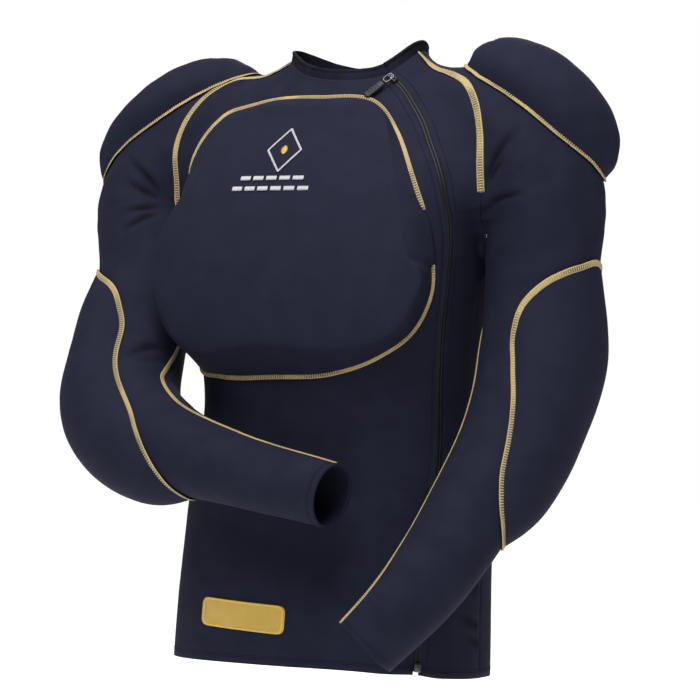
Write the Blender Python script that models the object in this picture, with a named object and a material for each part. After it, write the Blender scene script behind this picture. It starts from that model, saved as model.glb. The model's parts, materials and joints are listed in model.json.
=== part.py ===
"""A padded compression shirt with long raglan sleeves, filled out as it is when worn.

Metres, +Z up. The front faces -Y and +X is the wearer's left. The origin is the middle of the
neck, level with the collar seam at the front. Each piece of cloth is a grid of points laid on
one general figure, with a wall on its inner side; each pad lies in a pocket over the cloth.
"""

import math
from collections import namedtuple

import bmesh
import bpy
import numpy as np
from mathutils import Matrix

CLOTH = 0.002
SEAM_GAP = 0.0003
LAID_ON = 0.0016  # a pad starts this far over the smooth figure, so that flat facets stay clear

COLLAR_HEIGHT = 0.012
ZIP_OPENING = 0.0085  # between the two fronts, where the chain shows
TAPE_WIDTH = 0.016
TAPE_THICK = 0.0008
CHAIN_WIDTH = 0.0056
CHAIN_THICK = 0.0020
PATCH_THICK = 0.001
PAD_RIM = 0.002

# Cuts across each grid of cloth. Pieces that share a seam share its points.
RAGLAN_CUTS = 10
SIDE_CUTS = 13
SLEEVE_NECK_CUTS = 4
FRONT_CUTS = 14
FRONT_STRIP_CUTS = 4
BACK_CUTS = 14
CAP_CUTS = 8
ARM_CUTS = 19
PAD_SPOKES = 34

TorsoRow = namedtuple("TorsoRow", "height half_width front back front_squareness")
TORSO = (
    TorsoRow(-0.690, 0.186, -0.148, 0.100, 2.3),
    TorsoRow(-0.580, 0.183, -0.140, 0.096, 2.3),
    TorsoRow(-0.470, 0.178, -0.128, 0.096, 2.3),
    TorsoRow(-0.360, 0.160, -0.124, 0.098, 2.5),
    TorsoRow(-0.300, 0.159, -0.132, 0.102, 3.0),
    TorsoRow(-0.240, 0.163, -0.138, 0.108, 3.6),
    TorsoRow(-0.180, 0.171, -0.138, 0.112, 3.8),
    TorsoRow(-0.120, 0.177, -0.128, 0.112, 3.6),
    TorsoRow(-0.075, 0.165, -0.110, 0.102, 2.8),
    TorsoRow(-0.040, 0.130, -0.090, 0.086, 2.4),
    TorsoRow(-0.010, 0.090, -0.072, 0.070, 2.2),
    TorsoRow(0.020, 0.076, -0.062, 0.062, 2.0),
    TorsoRow(0.060, 0.072, -0.058, 0.058, 2.0),
)
BACK_SQUARENESS = 2.45

# Middle line and radius of each arm. The seam columns point from the line to the inner seam.
ArmRow = namedtuple("ArmRow", "x y z radius seam_x seam_y seam_z")
ARM_RIGHT = (
    ArmRow(-0.040, 0.010, -0.040, 0.052, 0, 0, -1),
    ArmRow(-0.115, 0.006, -0.044, 0.060, 0, 0, -1),
    ArmRow(-0.207, 0.002, -0.067, 0.068, 1, 0, -1),
    ArmRow(-0.258, -0.010, -0.130, 0.070, 1, 0, 0),
    ArmRow(-0.244, -0.040, -0.215, 0.063, 1, 0, 0),
    ArmRow(-0.233, -0.086, -0.308, 0.057, 1, 0, 0),
    ArmRow(-0.206, -0.130, -0.374, 0.057, 1, 0, 1),
    ArmRow(-0.145, -0.156, -0.407, 0.050, 0, 0, 1),
    ArmRow(-0.040, -0.176, -0.431, 0.039, 0, 0, 1),
    ArmRow(0.090, -0.189, -0.451, 0.0335, 0, 0, 1),
)
ARM_LEFT = (
    ArmRow(0.040, 0.010, -0.040, 0.052, 0, 0, -1),
    ArmRow(0.115, 0.006, -0.044, 0.060, 0, 0, -1),
    ArmRow(0.190, 0.002, -0.060, 0.067, -1, 0, -1),
    ArmRow(0.227, 0.002, -0.115, 0.067, -1, 0, 0),
    ArmRow(0.232, 0.002, -0.210, 0.061, -1, -0.3, 0),
    ArmRow(0.230, -0.010, -0.310, 0.0585, -1, -0.8, 0),
    ArmRow(0.224, -0.044, -0.385, 0.053, -1, -0.8, 0),
    ArmRow(0.208, -0.098, -0.460, 0.047, -1, -0.8, 0),
    ArmRow(0.185, -0.168, -0.540, 0.041, -1, -0.8, 0),
    ArmRow(0.137, -0.195, -0.602, 0.036, -1, -0.8, 0),
)
ARM_STATIONS = 48
BLEND = 0.045  # how far the shoulder's cloth bridges between the body and the arm
BLEND_FADES = (0.28, 0.40)  # share of the arm's length over which that stops
TUBE_STARTS = 0.41  # from here on the sleeve is a plain tube round the arm's line

# Height of the collar seam all round: 0 degrees is the front, 90 the wearer's left.
NeckRow = namedtuple("NeckRow", "angle height")
NECK = (
    NeckRow(-210, 0.017),
    NeckRow(-180, 0.012),
    NeckRow(-150, 0.014),
    NeckRow(-120, 0.019),
    NeckRow(-90, 0.022),
    NeckRow(-60, 0.018),
    NeckRow(-30, 0.004),
    NeckRow(0, -0.003),
    NeckRow(30, -0.004),
    NeckRow(52, 0.001),
    NeckRow(68, 0.014),
    NeckRow(90, 0.033),
    NeckRow(120, 0.029),
    NeckRow(150, 0.017),
    NeckRow(180, 0.012),
    NeckRow(210, 0.014),
)
ZIP_ANGLE = 52
RAGLAN_FRONT_ANGLE = 84
RAGLAN_BACK_ANGLE = 126

Spot = namedtuple("Spot", "x y z")
RAGLAN_FRONT_RIGHT = (
    Spot(-0.100, -0.020, 0.014),
    Spot(-0.155, -0.030, 0.004),
    Spot(-0.178, -0.053, -0.020),
    Spot(-0.194, -0.064, -0.050),
    Spot(-0.202, -0.070, -0.090),
    Spot(-0.198, -0.074, -0.132),
    Spot(-0.185, -0.055, -0.172),
)
RAGLAN_FRONT_LEFT = (
    Spot(0.108, -0.020, 0.012),
    Spot(0.154, -0.045, -0.006),
    Spot(0.174, -0.060, -0.029),
    Spot(0.184, -0.067, -0.062),
    Spot(0.187, -0.070, -0.094),
    Spot(0.190, -0.069, -0.130),
    Spot(0.183, -0.050, -0.172),
)
RAGLAN_BACK_LEFT = (
    Spot(0.096, 0.052, 0.008),
    Spot(0.126, 0.064, -0.016),
    Spot(0.146, 0.074, -0.050),
    Spot(0.157, 0.074, -0.092),
    Spot(0.165, 0.062, -0.136),
    Spot(0.173, 0.034, -0.176),
)
RAGLAN_BACK_RIGHT = tuple(Spot(-spot.x, spot.y, spot.z) for spot in RAGLAN_BACK_LEFT)

ZipRow = namedtuple("ZipRow", "z x")
ZIP = (
    ZipRow(-0.670, 0.150),
    ZipRow(-0.570, 0.151),
    ZipRow(-0.420, 0.152),
    ZipRow(-0.360, 0.149),
    ZipRow(-0.300, 0.152),
    ZipRow(-0.250, 0.157),
    ZipRow(-0.200, 0.163),
    ZipRow(-0.149, 0.164),
    ZipRow(-0.107, 0.153),
    ZipRow(-0.074, 0.133),
    ZipRow(-0.045, 0.110),
    ZipRow(-0.028, 0.092),
    ZipRow(-0.014, 0.077),
    ZipRow(0.002, 0.062),
)

# Height of the hem, by the same angles as the neck.
HEM = (
    NeckRow(-180, -0.662),
    NeckRow(-90, -0.656),
    NeckRow(-30, -0.644),
    NeckRow(0, -0.641),
    NeckRow(45, -0.639),
    NeckRow(90, -0.649),
    NeckRow(180, -0.662),
)

# The chest pad's pocket seam, seen from the front, and the flat-topped face that stands over it.
OutlineSpot = namedtuple("OutlineSpot", "x z")
CHEST_SEAM = (
    OutlineSpot(0.000, -0.026),
    OutlineSpot(0.060, -0.031),
    OutlineSpot(0.099, -0.066),
    OutlineSpot(0.129, -0.113),
    OutlineSpot(0.146, -0.154),
    OutlineSpot(0.152, -0.200),
    OutlineSpot(0.149, -0.240),
    OutlineSpot(0.132, -0.280),
    OutlineSpot(0.095, -0.309),
    OutlineSpot(0.050, -0.325),
    OutlineSpot(-0.020, -0.331),
    OutlineSpot(-0.095, -0.333),
    OutlineSpot(-0.145, -0.324),
    OutlineSpot(-0.162, -0.285),
    OutlineSpot(-0.168, -0.220),
    OutlineSpot(-0.172, -0.150),
    OutlineSpot(-0.168, -0.095),
    OutlineSpot(-0.140, -0.054),
    OutlineSpot(-0.085, -0.031),
)
CHEST_FACE = (
    OutlineSpot(0.006, -0.037),
    OutlineSpot(0.060, -0.038),
    OutlineSpot(0.087, -0.048),
    OutlineSpot(0.102, -0.075),
    OutlineSpot(0.115, -0.108),
    OutlineSpot(0.130, -0.150),
    OutlineSpot(0.141, -0.185),
    OutlineSpot(0.153, -0.214),
    OutlineSpot(0.156, -0.241),
    OutlineSpot(0.147, -0.264),
    OutlineSpot(0.119, -0.288),
    OutlineSpot(0.078, -0.299),
    OutlineSpot(0.023, -0.300),
    OutlineSpot(-0.030, -0.297),
    OutlineSpot(-0.085, -0.307),
    OutlineSpot(-0.118, -0.311),
    OutlineSpot(-0.150, -0.294),
    OutlineSpot(-0.172, -0.262),
    OutlineSpot(-0.181, -0.218),
    OutlineSpot(-0.174, -0.182),
    OutlineSpot(-0.147, -0.138),
    OutlineSpot(-0.106, -0.081),
    OutlineSpot(-0.072, -0.040),
)
CHEST_MIDDLE = OutlineSpot(-0.008, -0.185)
CHEST_UNDER_RINGS = (0.0, 0.07, 0.16, 0.28, 0.45, 0.70)
CHEST_RIM_LIFT = 0.0030
FaceRow = namedtuple("FaceRow", "z y")
CHEST_FACE_DEPTH = (
    FaceRow(-0.340, -0.150),
    FaceRow(-0.290, -0.162),
    FaceRow(-0.240, -0.168),
    FaceRow(-0.180, -0.164),
    FaceRow(-0.120, -0.148),
    FaceRow(-0.080, -0.128),
    FaceRow(-0.040, -0.103),
)
CHEST_FACE_CURVE = 0.9  # metres back for each square metre sideways

# A shoulder pad's seam runs from the neck end down the front, round the arm and up the back.
SHOULDER_RIGHT = (
    Spot(-0.140, -0.010, 0.012),
    Spot(-0.168, -0.038, 0.000),
    Spot(-0.205, -0.054, -0.022),
    Spot(-0.245, -0.064, -0.044),
    Spot(-0.280, -0.064, -0.062),
    Spot(-0.307, -0.054, -0.084),
    Spot(-0.323, -0.036, -0.108),
    Spot(-0.327, -0.006, -0.120),
    Spot(-0.316, 0.026, -0.115),
    Spot(-0.288, 0.050, -0.094),
    Spot(-0.246, 0.064, -0.060),
    Spot(-0.206, 0.064, -0.032),
    Spot(-0.170, 0.052, -0.010),
    Spot(-0.144, 0.026, 0.006),
)
SHOULDER_LEFT = (
    Spot(0.140, -0.010, 0.012),
    Spot(0.166, -0.037, -0.001),
    Spot(0.202, -0.050, -0.018),
    Spot(0.236, -0.050, -0.040),
    Spot(0.264, -0.038, -0.066),
    Spot(0.286, -0.012, -0.090),
    Spot(0.294, 0.020, -0.106),
    Spot(0.284, 0.046, -0.102),
    Spot(0.262, 0.062, -0.080),
    Spot(0.232, 0.067, -0.052),
    Spot(0.198, 0.062, -0.026),
    Spot(0.168, 0.050, -0.008),
    Spot(0.144, 0.026, 0.006),
)
SHOULDER_MIDDLES = {-1: Spot(-0.252, -0.006, -0.024), 1: Spot(0.230, 0.004, -0.016)}
SHOULDER_HEIGHTS = {-1: 0.028, 1: 0.034}
SHOULDER_LAID_ON = {-1: 0.0006, 1: 0.0001}

# Elbow pads, in metres along the arm's line and degrees round it from the inner seam.
ElbowRow = namedtuple("ElbowRow", "along front back height")
ELBOW_RIGHT = (
    ElbowRow(0.352, 163, 167, 0.010),
    ElbowRow(0.379, 122, 210, 0.011),
    ElbowRow(0.398, 99, 232, 0.012),
    ElbowRow(0.430, 84, 250, 0.013),
    ElbowRow(0.475, 69, 262, 0.015),
    ElbowRow(0.534, 56, 268, 0.019),
    ElbowRow(0.600, 63, 262, 0.023),
    ElbowRow(0.637, 97, 236, 0.022),
    ElbowRow(0.658, 132, 200, 0.020),
    ElbowRow(0.670, 163, 167, 0.018),
)
ELBOW_LEFT = (
    ElbowRow(0.300, 163, 167, 0.009),
    ElbowRow(0.311, 135, 195, 0.009),
    ElbowRow(0.330, 96, 232, 0.010),
    ElbowRow(0.360, 66, 258, 0.014),
    ElbowRow(0.395, 55, 268, 0.018),
    ElbowRow(0.440, 60, 268, 0.019),
    ElbowRow(0.480, 72, 260, 0.018),
    ElbowRow(0.524, 85, 250, 0.019),
    ElbowRow(0.573, 104, 228, 0.020),
    ElbowRow(0.606, 136, 196, 0.018),
    ElbowRow(0.616, 163, 167, 0.016),
)
ELBOW_LAID_ON = {-1: 0.0034, 1: 0.0018}
PAD_RINGS = (0.0, 0.05, 0.14, 0.30, 0.55, 0.80)  # shares of the way from the seam to the middle
PAD_UNDER_RINGS = (0.0, 0.14, 0.38, 0.68)
PAD_UNDER_LIFT = 0.0035  # the pocket's inner side stands this much further off in its middle
PAD_STEEPNESS, SHOULDER_STEEPNESS = 4, 6

PatchRow = namedtuple("PatchRow", "left right top bottom corner")
PATCH = PatchRow(-0.104, 0.010, -0.577, -0.607, 0.006)
PATCH_LAID_ON = 0.0004

SLIDER_LENGTH, SLIDER_WIDTH, SLIDER_THICK = 0.013, 0.0074, 0.0026
SLIDER_DOWN = 0.0095  # from the collar seam to the middle of the slider
BAIL_LENGTH, BAIL_BAR, BAIL_WINDOW = 0.0092, 0.0012, 0.0024
EYE_INNER, EYE_OUTER, EYE_WIDTH = 0.0012, 0.0022, 0.0056
LINK_LENGTH, LINK_WIDTH, LINK_THICK = 0.0135, 0.0085, 0.0014
TAB_LENGTH, TAB_WIDTH, TAB_THICK = 0.026, 0.0088, 0.0024
PULL_DROOP = 5  # degrees that the tab leans towards the cloth at rest
BOX_LENGTH, BOX_WIDTH, BOX_THICK = 0.010, 0.0072, 0.0036

Finish = namedtuple("Finish", "red green blue roughness metallic")
KNIT = Finish(0.020, 0.022, 0.036, 0.85, 0)
PAD_KNIT = Finish(0.022, 0.023, 0.038, 0.85, 0)
TAPE = Finish(0.014, 0.015, 0.022, 0.80, 0)
COIL = Finish(0.020, 0.021, 0.030, 0.45, 0)
NICKEL = Finish(0.55, 0.55, 0.56, 0.30, 1)
TAB = Finish(0.012, 0.013, 0.020, 0.50, 0)
YELLOW = Finish(0.66, 0.43, 0.075, 0.75, 0)


def curve_through(stations, values, at):
    """A smooth curve through the values, read at any stations between the first and the last."""
    stations = np.asarray(stations, float)
    values = np.asarray(values, float)
    slopes = np.gradient(values, stations, axis=0)
    at = np.clip(at, stations[0], stations[-1])
    right = np.clip(np.searchsorted(stations, at), 1, len(stations) - 1)
    left = right - 1
    span = stations[right] - stations[left]
    t = (at - stations[left]) / span
    if values.ndim > 1:
        t, span = t[..., None], span[..., None]
    return (
        (2 * t**3 - 3 * t**2 + 1) * values[left]
        + (t**3 - 2 * t**2 + t) * span * slopes[left]
        + (3 * t**2 - 2 * t**3) * values[right]
        + (t**3 - t**2) * span * slopes[right]
    )


def lengths_along(points):
    steps = np.linalg.norm(np.diff(points, axis=0), axis=1)
    return np.concatenate([[0], np.cumsum(steps)])


def unit(vectors):
    return vectors / np.linalg.norm(vectors, axis=-1, keepdims=True)


def smooth_step(low, high, value):
    t = np.clip((value - low) / (high - low), 0, 1)
    return t * t * (3 - 2 * t)


class Arm:
    """The line through one arm, with a radius and a frame at even stations along it."""

    def __init__(self, rows, side):
        table = np.array(rows, float)
        self.rows, self.stations = table, lengths_along(table[:, :3])
        self.length = self.stations[-1]
        line = curve_through(self.stations, table, np.linspace(0, self.length, ARM_STATIONS))
        self.centres, self.radii = line[:, :3], line[:, 3]
        self.side = side

    def frame(self, along):
        """Centre, radius, and the directions of the inner seam and of the front."""
        step = 0.002
        here = curve_through(self.stations, self.rows, along)
        ahead = curve_through(self.stations, self.rows, np.minimum(along + step, self.length))
        behind = curve_through(self.stations, self.rows, np.maximum(along - step, 0))
        run = unit(ahead[..., :3] - behind[..., :3])
        seam = here[..., 4:]
        seam = unit(seam - (seam * run).sum(-1, keepdims=True) * run)
        front = np.cross(run, seam) if self.side < 0 else np.cross(seam, run)
        return here[..., :3], here[..., 3:4], seam, front

    def points(self, along, degrees, over=0.0):
        """Points of the plain tube round the arm, and the way out from it there."""
        along, degrees = np.broadcast_arrays(np.asarray(along, float), degrees)
        centre, radius, seam, front = self.frame(along)
        turn = np.radians(degrees)[..., None]
        out = np.cos(turn) * seam + np.sin(turn) * front
        return centre + (radius + np.asarray(over)[..., None]) * out, out


ARMS = {-1: Arm(ARM_RIGHT, -1), 1: Arm(ARM_LEFT, 1)}


def torso_section(height):
    return curve_through([row.height for row in TORSO], np.array(TORSO)[:, 1:], height).T


def torso_point(angle, height, facing=-1):
    """On the body at an angle in radians from the front, or from the back with facing +1."""
    angle, height = np.broadcast_arrays(np.asarray(angle, float), np.asarray(height, float))
    half_width, front, back, squareness = torso_section(height.ravel())
    middle, half_depth = (front + back) / 2, (back - front) / 2
    across, ahead = np.sin(angle.ravel()), facing * np.cos(angle.ravel())
    power = np.where(ahead < 0, squareness, BACK_SQUARENESS)
    share = (np.abs(across / half_width) ** power + np.abs(ahead / half_depth) ** power) ** (1 / power)
    points = np.stack([across / share, middle + ahead / share, height.ravel()], 1)
    return points.reshape(*angle.shape, 3)


def torso_angle(points, facing=-1):
    flat = points.reshape(-1, 3)
    _, front, back, _ = torso_section(flat[:, 2])
    angle = np.arctan2(flat[:, 0], facing * (flat[:, 1] - (front + back) / 2))
    return angle.reshape(points.shape[:-1])


def torso_distance(points):
    half_width, front, back, squareness = torso_section(points[:, 2])
    x, y = points[:, 0], points[:, 1] - (front + back) / 2
    power = np.where(y < 0, squareness, BACK_SQUARENESS)
    out = np.hypot(x, y) + 1e-9
    half_depth = (back - front) / 2
    share = (np.abs(x / half_width) ** power + np.abs(y / half_depth) ** power) ** (1 / power)
    return out - out / np.maximum(share, 1e-6)


def arm_distance(points, arm):
    """Distance outside the arm's tube, and how far along the arm the nearest of it is."""
    start, run = arm.centres[:-1], np.diff(arm.centres, axis=0)
    t = np.clip(((points[:, None] - start) * run).sum(2) / (run * run).sum(1), 0, 1)
    away = np.linalg.norm(points[:, None] - start - t[..., None] * run, axis=2)
    away = away - (arm.radii[:-1] + t * np.diff(arm.radii))
    nearest = away.argmin(axis=1)
    each = np.arange(len(points))
    return away[each, nearest], (nearest + t[each, nearest]) / len(start)


def figure_distance(points):
    """Below zero inside the body and arms, which blend at the shoulders, and above it outside."""
    distance = torso_distance(points)
    for arm in ARMS.values():
        away, along = arm_distance(points, arm)
        blend = 0.001 + BLEND * (1 - smooth_step(*BLEND_FADES, along))
        near = np.maximum(blend - np.abs(distance - away), 0)
        distance = np.minimum(distance, away) - near**2 / (4 * blend)
    return distance


def figure_slope(points, step=4e-4):
    corners = np.array([[1, -1, -1], [-1, -1, 1], [-1, 1, -1], [1, 1, 1]], float)
    return sum(c * figure_distance(points + step * c)[:, None] for c in corners) / (4 * step)


def outward(points):
    return unit(figure_slope(points.reshape(-1, 3))).reshape(points.shape)


def on_figure(points, steps=5, longest=0.02):
    flat = points.reshape(-1, 3).copy()
    for _ in range(steps):
        slope = figure_slope(flat)
        move = -figure_distance(flat)[:, None] * slope / (slope * slope).sum(1, keepdims=True)
        size = np.linalg.norm(move, axis=1, keepdims=True)
        flat += move * np.minimum(1, longest / np.maximum(size, 1e-9))
    return flat.reshape(points.shape)


def even_line(spots, cuts):
    """A smooth line through the spots in equal steps, laid on the figure."""
    spots = np.array(spots, float)
    stations = lengths_along(spots)
    line = on_figure(curve_through(stations, spots, np.linspace(0, stations[-1], 8 * cuts + 1)))
    stations = lengths_along(line)
    at = np.linspace(0, stations[-1], cuts + 1)
    inner = np.stack([np.interp(at, stations, line[:, i]) for i in range(3)], 1)
    inner[1:-1] = on_figure(inner[1:-1])
    return inner


def settled(grid, round_trip=False, rounds=24):
    """Evens out a grid of points on the figure between edges that stay put."""
    for _ in range(rounds):
        across = (np.roll(grid, 1, 1) + np.roll(grid, -1, 1)) / 2
        mean = (across[1:-1] + (grid[2:] + grid[:-2]) / 2) / 2
        if round_trip:
            grid[1:-1] = on_figure(mean, 2)
        else:
            grid[1:-1, 1:-1] = on_figure(mean[:, 1:-1], 2)
    return grid


def drawn_in(grid, edges):
    """Moves each named edge of a grid into it by its amount, along the cloth."""
    moved = grid.copy()
    views = {
        "top": (grid[0], grid[1], (0, slice(None))),
        "bottom": (grid[-1], grid[-2], (-1, slice(None))),
        "left": (grid[:, 0], grid[:, 1], (slice(None), 0)),
        "right": (grid[:, -1], grid[:, -2], (slice(None), -1)),
    }
    for name, amount in edges.items():
        edge, beside, place = views[name]
        along = unit(np.gradient(edge, axis=0))
        inwards = beside - edge
        inwards = unit(inwards - (inwards * along).sum(1, keepdims=True) * along)
        moved[place] += amount * inwards
    return moved


def new_material(name, finish):
    material = bpy.data.materials.new(name)
    material.use_nodes = True
    shader = material.node_tree.nodes["Principled BSDF"]
    shader.inputs["Base Color"].default_value = (finish.red, finish.green, finish.blue, 1)
    shader.inputs["Roughness"].default_value = finish.roughness
    shader.inputs["Metallic"].default_value = finish.metallic
    material.diffuse_color = (finish.red, finish.green, finish.blue, 1)
    return material


def add_solid(name, points, faces, finish):
    """One closed body from points and faces, turned to face out."""
    mesh = bpy.data.meshes.new(name)
    work = bmesh.new()
    corners = [work.verts.new(point) for point in np.asarray(points, float)]
    for face in faces:
        work.faces.new([corners[i] for i in face])
    bmesh.ops.recalc_face_normals(work, faces=work.faces[:])
    work.to_mesh(mesh)
    work.free()
    mesh.shade_smooth()
    mesh.set_sharp_from_angle(angle=math.radians(50))
    solid = bpy.data.objects.new(name, mesh)
    bpy.context.scene.collection.objects.link(solid)
    mesh.materials.append(new_material(name, finish))
    return solid


def add_wall(name, outer, inner, finish, round_trip=False):
    """A wall between two grids of the same size, open at its ends or all round."""
    rows, columns = outer.shape[:2]
    points = np.concatenate([outer.reshape(-1, 3), inner.reshape(-1, 3)])
    back = rows * columns
    last = columns if round_trip else columns - 1

    def corner(row, column):
        return row * columns + column % columns

    faces = []
    for row in range(rows - 1):
        for column in range(last):
            quad = [
                corner(row, column),
                corner(row, column + 1),
                corner(row + 1, column + 1),
                corner(row + 1, column),
            ]
            faces.append(quad)
            faces.append([back + i for i in reversed(quad)])
    rims = [[(corner(row, column), corner(row, column + 1)) for column in range(last)] for row in (0, rows - 1)]
    if not round_trip:
        for column in (0, columns - 1):
            rims.append([(corner(row, column), corner(row + 1, column)) for row in range(rows - 1)])
    for rim in rims:
        faces.extend([a, b, back + b, back + a] for a, b in rim)
    return add_solid(name, points, faces, finish)


def add_pad(name, top_rings, top_middle, under_rings, under_middle, finish):
    """A padded pocket from rings of points that run from its seam to its middle."""
    spokes = top_rings.shape[1]
    rings = len(top_rings)
    points = [*top_rings.reshape(-1, 3), *under_rings.reshape(-1, 3), top_middle, under_middle]
    under = rings * spokes
    middle = under + len(under_rings) * spokes
    faces = []
    for spoke in range(spokes):
        beside = (spoke + 1) % spokes
        for first, count, centre in ((0, rings, middle), (under, len(under_rings), middle + 1)):
            for ring in range(count - 1):
                a, b = first + ring * spokes, first + (ring + 1) * spokes
                faces.append([a + spoke, a + beside, b + beside, b + spoke])
            innermost = first + (count - 1) * spokes
            faces.append([innermost + spoke, innermost + beside, centre])
        faces.append([spoke, beside, under + beside, under + spoke])
    return add_solid(name, np.array(points), faces, finish)


def neck_point(degrees):
    height = curve_through([row.angle for row in NECK], [row.height for row in NECK], degrees)
    return on_figure(torso_point(np.radians(degrees), height))


def neck_arc(first, last, cuts):
    return neck_point(np.linspace(first, last, cuts + 1))


def armpit(side):
    """The lowest point of the web between the arm and the side of the body."""
    point = np.array([[side * 0.171, -0.004, -0.260]])
    while figure_distance(point)[0] > 0:
        point[0, 2] += 0.0005
    return on_figure(point)[0]


def hem_height(angle):
    return curve_through([row.angle for row in HEM], [row.height for row in HEM], np.degrees(angle))


def side_seam(side, start):
    angle = side * math.pi / 2
    share = np.linspace(0, 1, SIDE_CUTS + 1)[1:] ** 1.1
    below = torso_point(angle, start[2] + (hem_height(angle) - start[2]) * share)
    return np.concatenate([[start], below])


def zip_line():
    """Down the middle of the zip, level with the raglan's cuts above and the side's below."""
    top = neck_point(np.array([ZIP_ANGLE]))[0]
    armpit_height = -0.200
    end = hem_height(math.radians(ZIP_ANGLE))
    heights = np.concatenate(
        [
            np.linspace(top[2], armpit_height, RAGLAN_CUTS + 1),
            np.linspace(armpit_height, end, SIDE_CUTS + 1)[1:],
        ]
    )
    points = over_front(curve_through([row.z for row in ZIP], [row.x for row in ZIP], heights), heights)
    points[0] = top
    return points


def hem_line(start, end, cuts, facing):
    angles = np.linspace(torso_angle(start, facing), torso_angle(end, facing), cuts + 1)
    turn = angles if facing < 0 else np.sign(angles + 1e-9) * math.pi - angles
    line = torso_point(angles, hem_height(turn), facing)
    line[0], line[-1] = start, end
    return line


def panel_grid(left, right, top, bottom, facing):
    """A grid between four seams. Angle and height are blended, then points settle on the figure."""
    rows, columns = len(left), len(top)
    down, over = np.linspace(0, 1, rows)[:, None, None], np.linspace(0, 1, columns)[None, :, None]

    def flat(points):
        return np.stack([torso_angle(points, facing), points[:, 2]], -1)

    a, b, c, d = flat(left)[:, None], flat(right)[:, None], flat(top)[None], flat(bottom)[None]
    corners = (
        (1 - down) * ((1 - over) * c[:, :1] + over * c[:, -1:])
        + down * ((1 - over) * d[:, :1] + over * d[:, -1:])
    )
    blended = (1 - over) * a + over * b + (1 - down) * c + down * d - corners
    grid = on_figure(torso_point(blended[..., 0], blended[..., 1], facing), 8)
    grid[:, 0], grid[:, -1], grid[0], grid[-1] = left, right, top, bottom
    return settled(grid)


def add_panel(name, grid, edges, finish=KNIT):
    inner = grid - CLOTH * outward(grid)
    return add_wall(name, drawn_in(grid, edges), drawn_in(inner, edges), finish)


def sleeve_grid(arm, loop):
    """Rings from the raglan loop over the shoulder, then round the arm to the cuff."""
    degrees = np.arange(len(loop)) * 360 / len(loop)
    station = np.linspace(0, arm.length, ARM_STATIONS)
    first = station[[np.linalg.norm(arm.centres - point, axis=1).argmin() for point in loop]]
    first = np.minimum(first, TUBE_STARTS * arm.length - 0.03)
    share = np.linspace(0, 1, CAP_CUTS + 1)[:, None]
    along = first + (TUBE_STARTS * arm.length - first) * share
    cap, _ = arm.points(along, degrees)
    cap += (loop - cap[0]) * (1 - share[..., None]) ** 1.5
    cap[1:-1] = on_figure(cap[1:-1])
    cap = settled(cap, round_trip=True)
    tube_along = np.linspace(TUBE_STARTS * arm.length, arm.length, ARM_CUTS + 1)[1:]
    tube, _ = arm.points(tube_along[:, None], degrees)
    return np.concatenate([cap, tube])


def add_sleeve(name, arm, grid):
    out = outward(grid)
    tube = slice(CAP_CUTS, None)
    centre, *_ = arm.frame(np.linspace(TUBE_STARTS * arm.length, arm.length, ARM_CUTS + 1))
    out[tube] = unit(grid[tube] - centre[:, None])
    edge = {"top": SEAM_GAP}
    return add_wall(name, drawn_in(grid, edge), drawn_in(grid - CLOTH * out, edge), KNIT, True)


def closed_line(spots, count):
    """Evenly spaced points round a smooth closed outline."""
    spots = np.array(spots, float)
    wrapped = np.concatenate([spots[-3:], spots, spots[:3]])
    stations = lengths_along(wrapped)
    at = np.linspace(stations[3], stations[-3], 16 * count + 1)
    line = curve_through(stations, wrapped, at)
    stations = lengths_along(line)
    even = np.linspace(0, stations[-1], count + 1)[:-1]
    return np.stack([np.interp(even, stations, line[:, i]) for i in range(spots.shape[1])], 1)


def rising(share, steepness=PAD_STEEPNESS):
    """How high a pad stands at a share of the way from its seam to its middle."""
    return 1 - (1 - share) ** steepness


def lift(share, laid_on=LAID_ON):
    return laid_on + PAD_UNDER_LIFT * rising(share)


def add_shoulder_pad(name, side, spots):
    seam = closed_line(spots, PAD_SPOKES)
    middle = on_figure(np.array([SHOULDER_MIDDLES[side]]))
    laid_on, full = SHOULDER_LAID_ON[side], SHOULDER_HEIGHTS[side] - PAD_RIM

    def rings(shares, over):
        found = []
        for share in shares:
            points = on_figure(seam + (middle - seam) * share, 8)
            found.append(points + over(share) * outward(points))
        return np.array(found)

    def crown(share):
        return laid_on + PAD_RIM + full * rising(share, SHOULDER_STEEPNESS)

    def base(share):
        return lift(share, laid_on)

    top, under = rings(PAD_RINGS, crown), rings(PAD_UNDER_RINGS, base)
    out = outward(middle)[0]
    add_pad(name, top, middle[0] + crown(1) * out, under, middle[0] + base(1) * out, PAD_KNIT)


def add_elbow_pad(name, arm, rows):
    front = [(row.along, row.front) for row in rows]
    back = [(row.along, row.back) for row in reversed(rows[1:-1])]
    scale = np.array([1.0, math.radians(1) * 0.055])  # degrees made metres on an arm's radius
    seam = closed_line(np.array(front + back) * scale, PAD_SPOKES) / scale
    middle = np.array([(rows[0].along + rows[-1].along) / 2, (rows[4].front + rows[4].back) / 2])
    stations, heights = [row.along for row in rows], [row.height for row in rows]
    laid_on = ELBOW_LAID_ON[arm.side]

    def ring(share, under):
        along, degrees = (seam + (middle - seam) * share).T
        full = curve_through(stations, heights, along)
        over = laid_on + PAD_RIM + (full - PAD_RIM) * rising(share)
        low = np.full(len(along), lift(share, laid_on))
        return arm.points(along, degrees, low if under else over)[0]

    top = np.array([ring(share, False) for share in PAD_RINGS])
    under = np.array([ring(share, True) for share in PAD_UNDER_RINGS])
    add_pad(name, top, ring(1, False)[0], under, ring(1, True)[0], PAD_KNIT)


def over_front(x, z):
    """Points of the front of the body at a place seen from the front."""
    half_width, front, back, power = torso_section(z)
    reach = np.clip(np.abs(x) / half_width, 0, 0.985)
    depth = (1 - reach**power) ** (1 / power)
    return on_figure(np.stack([x, (front + back) / 2 - depth * (back - front) / 2, z], 1))


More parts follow.
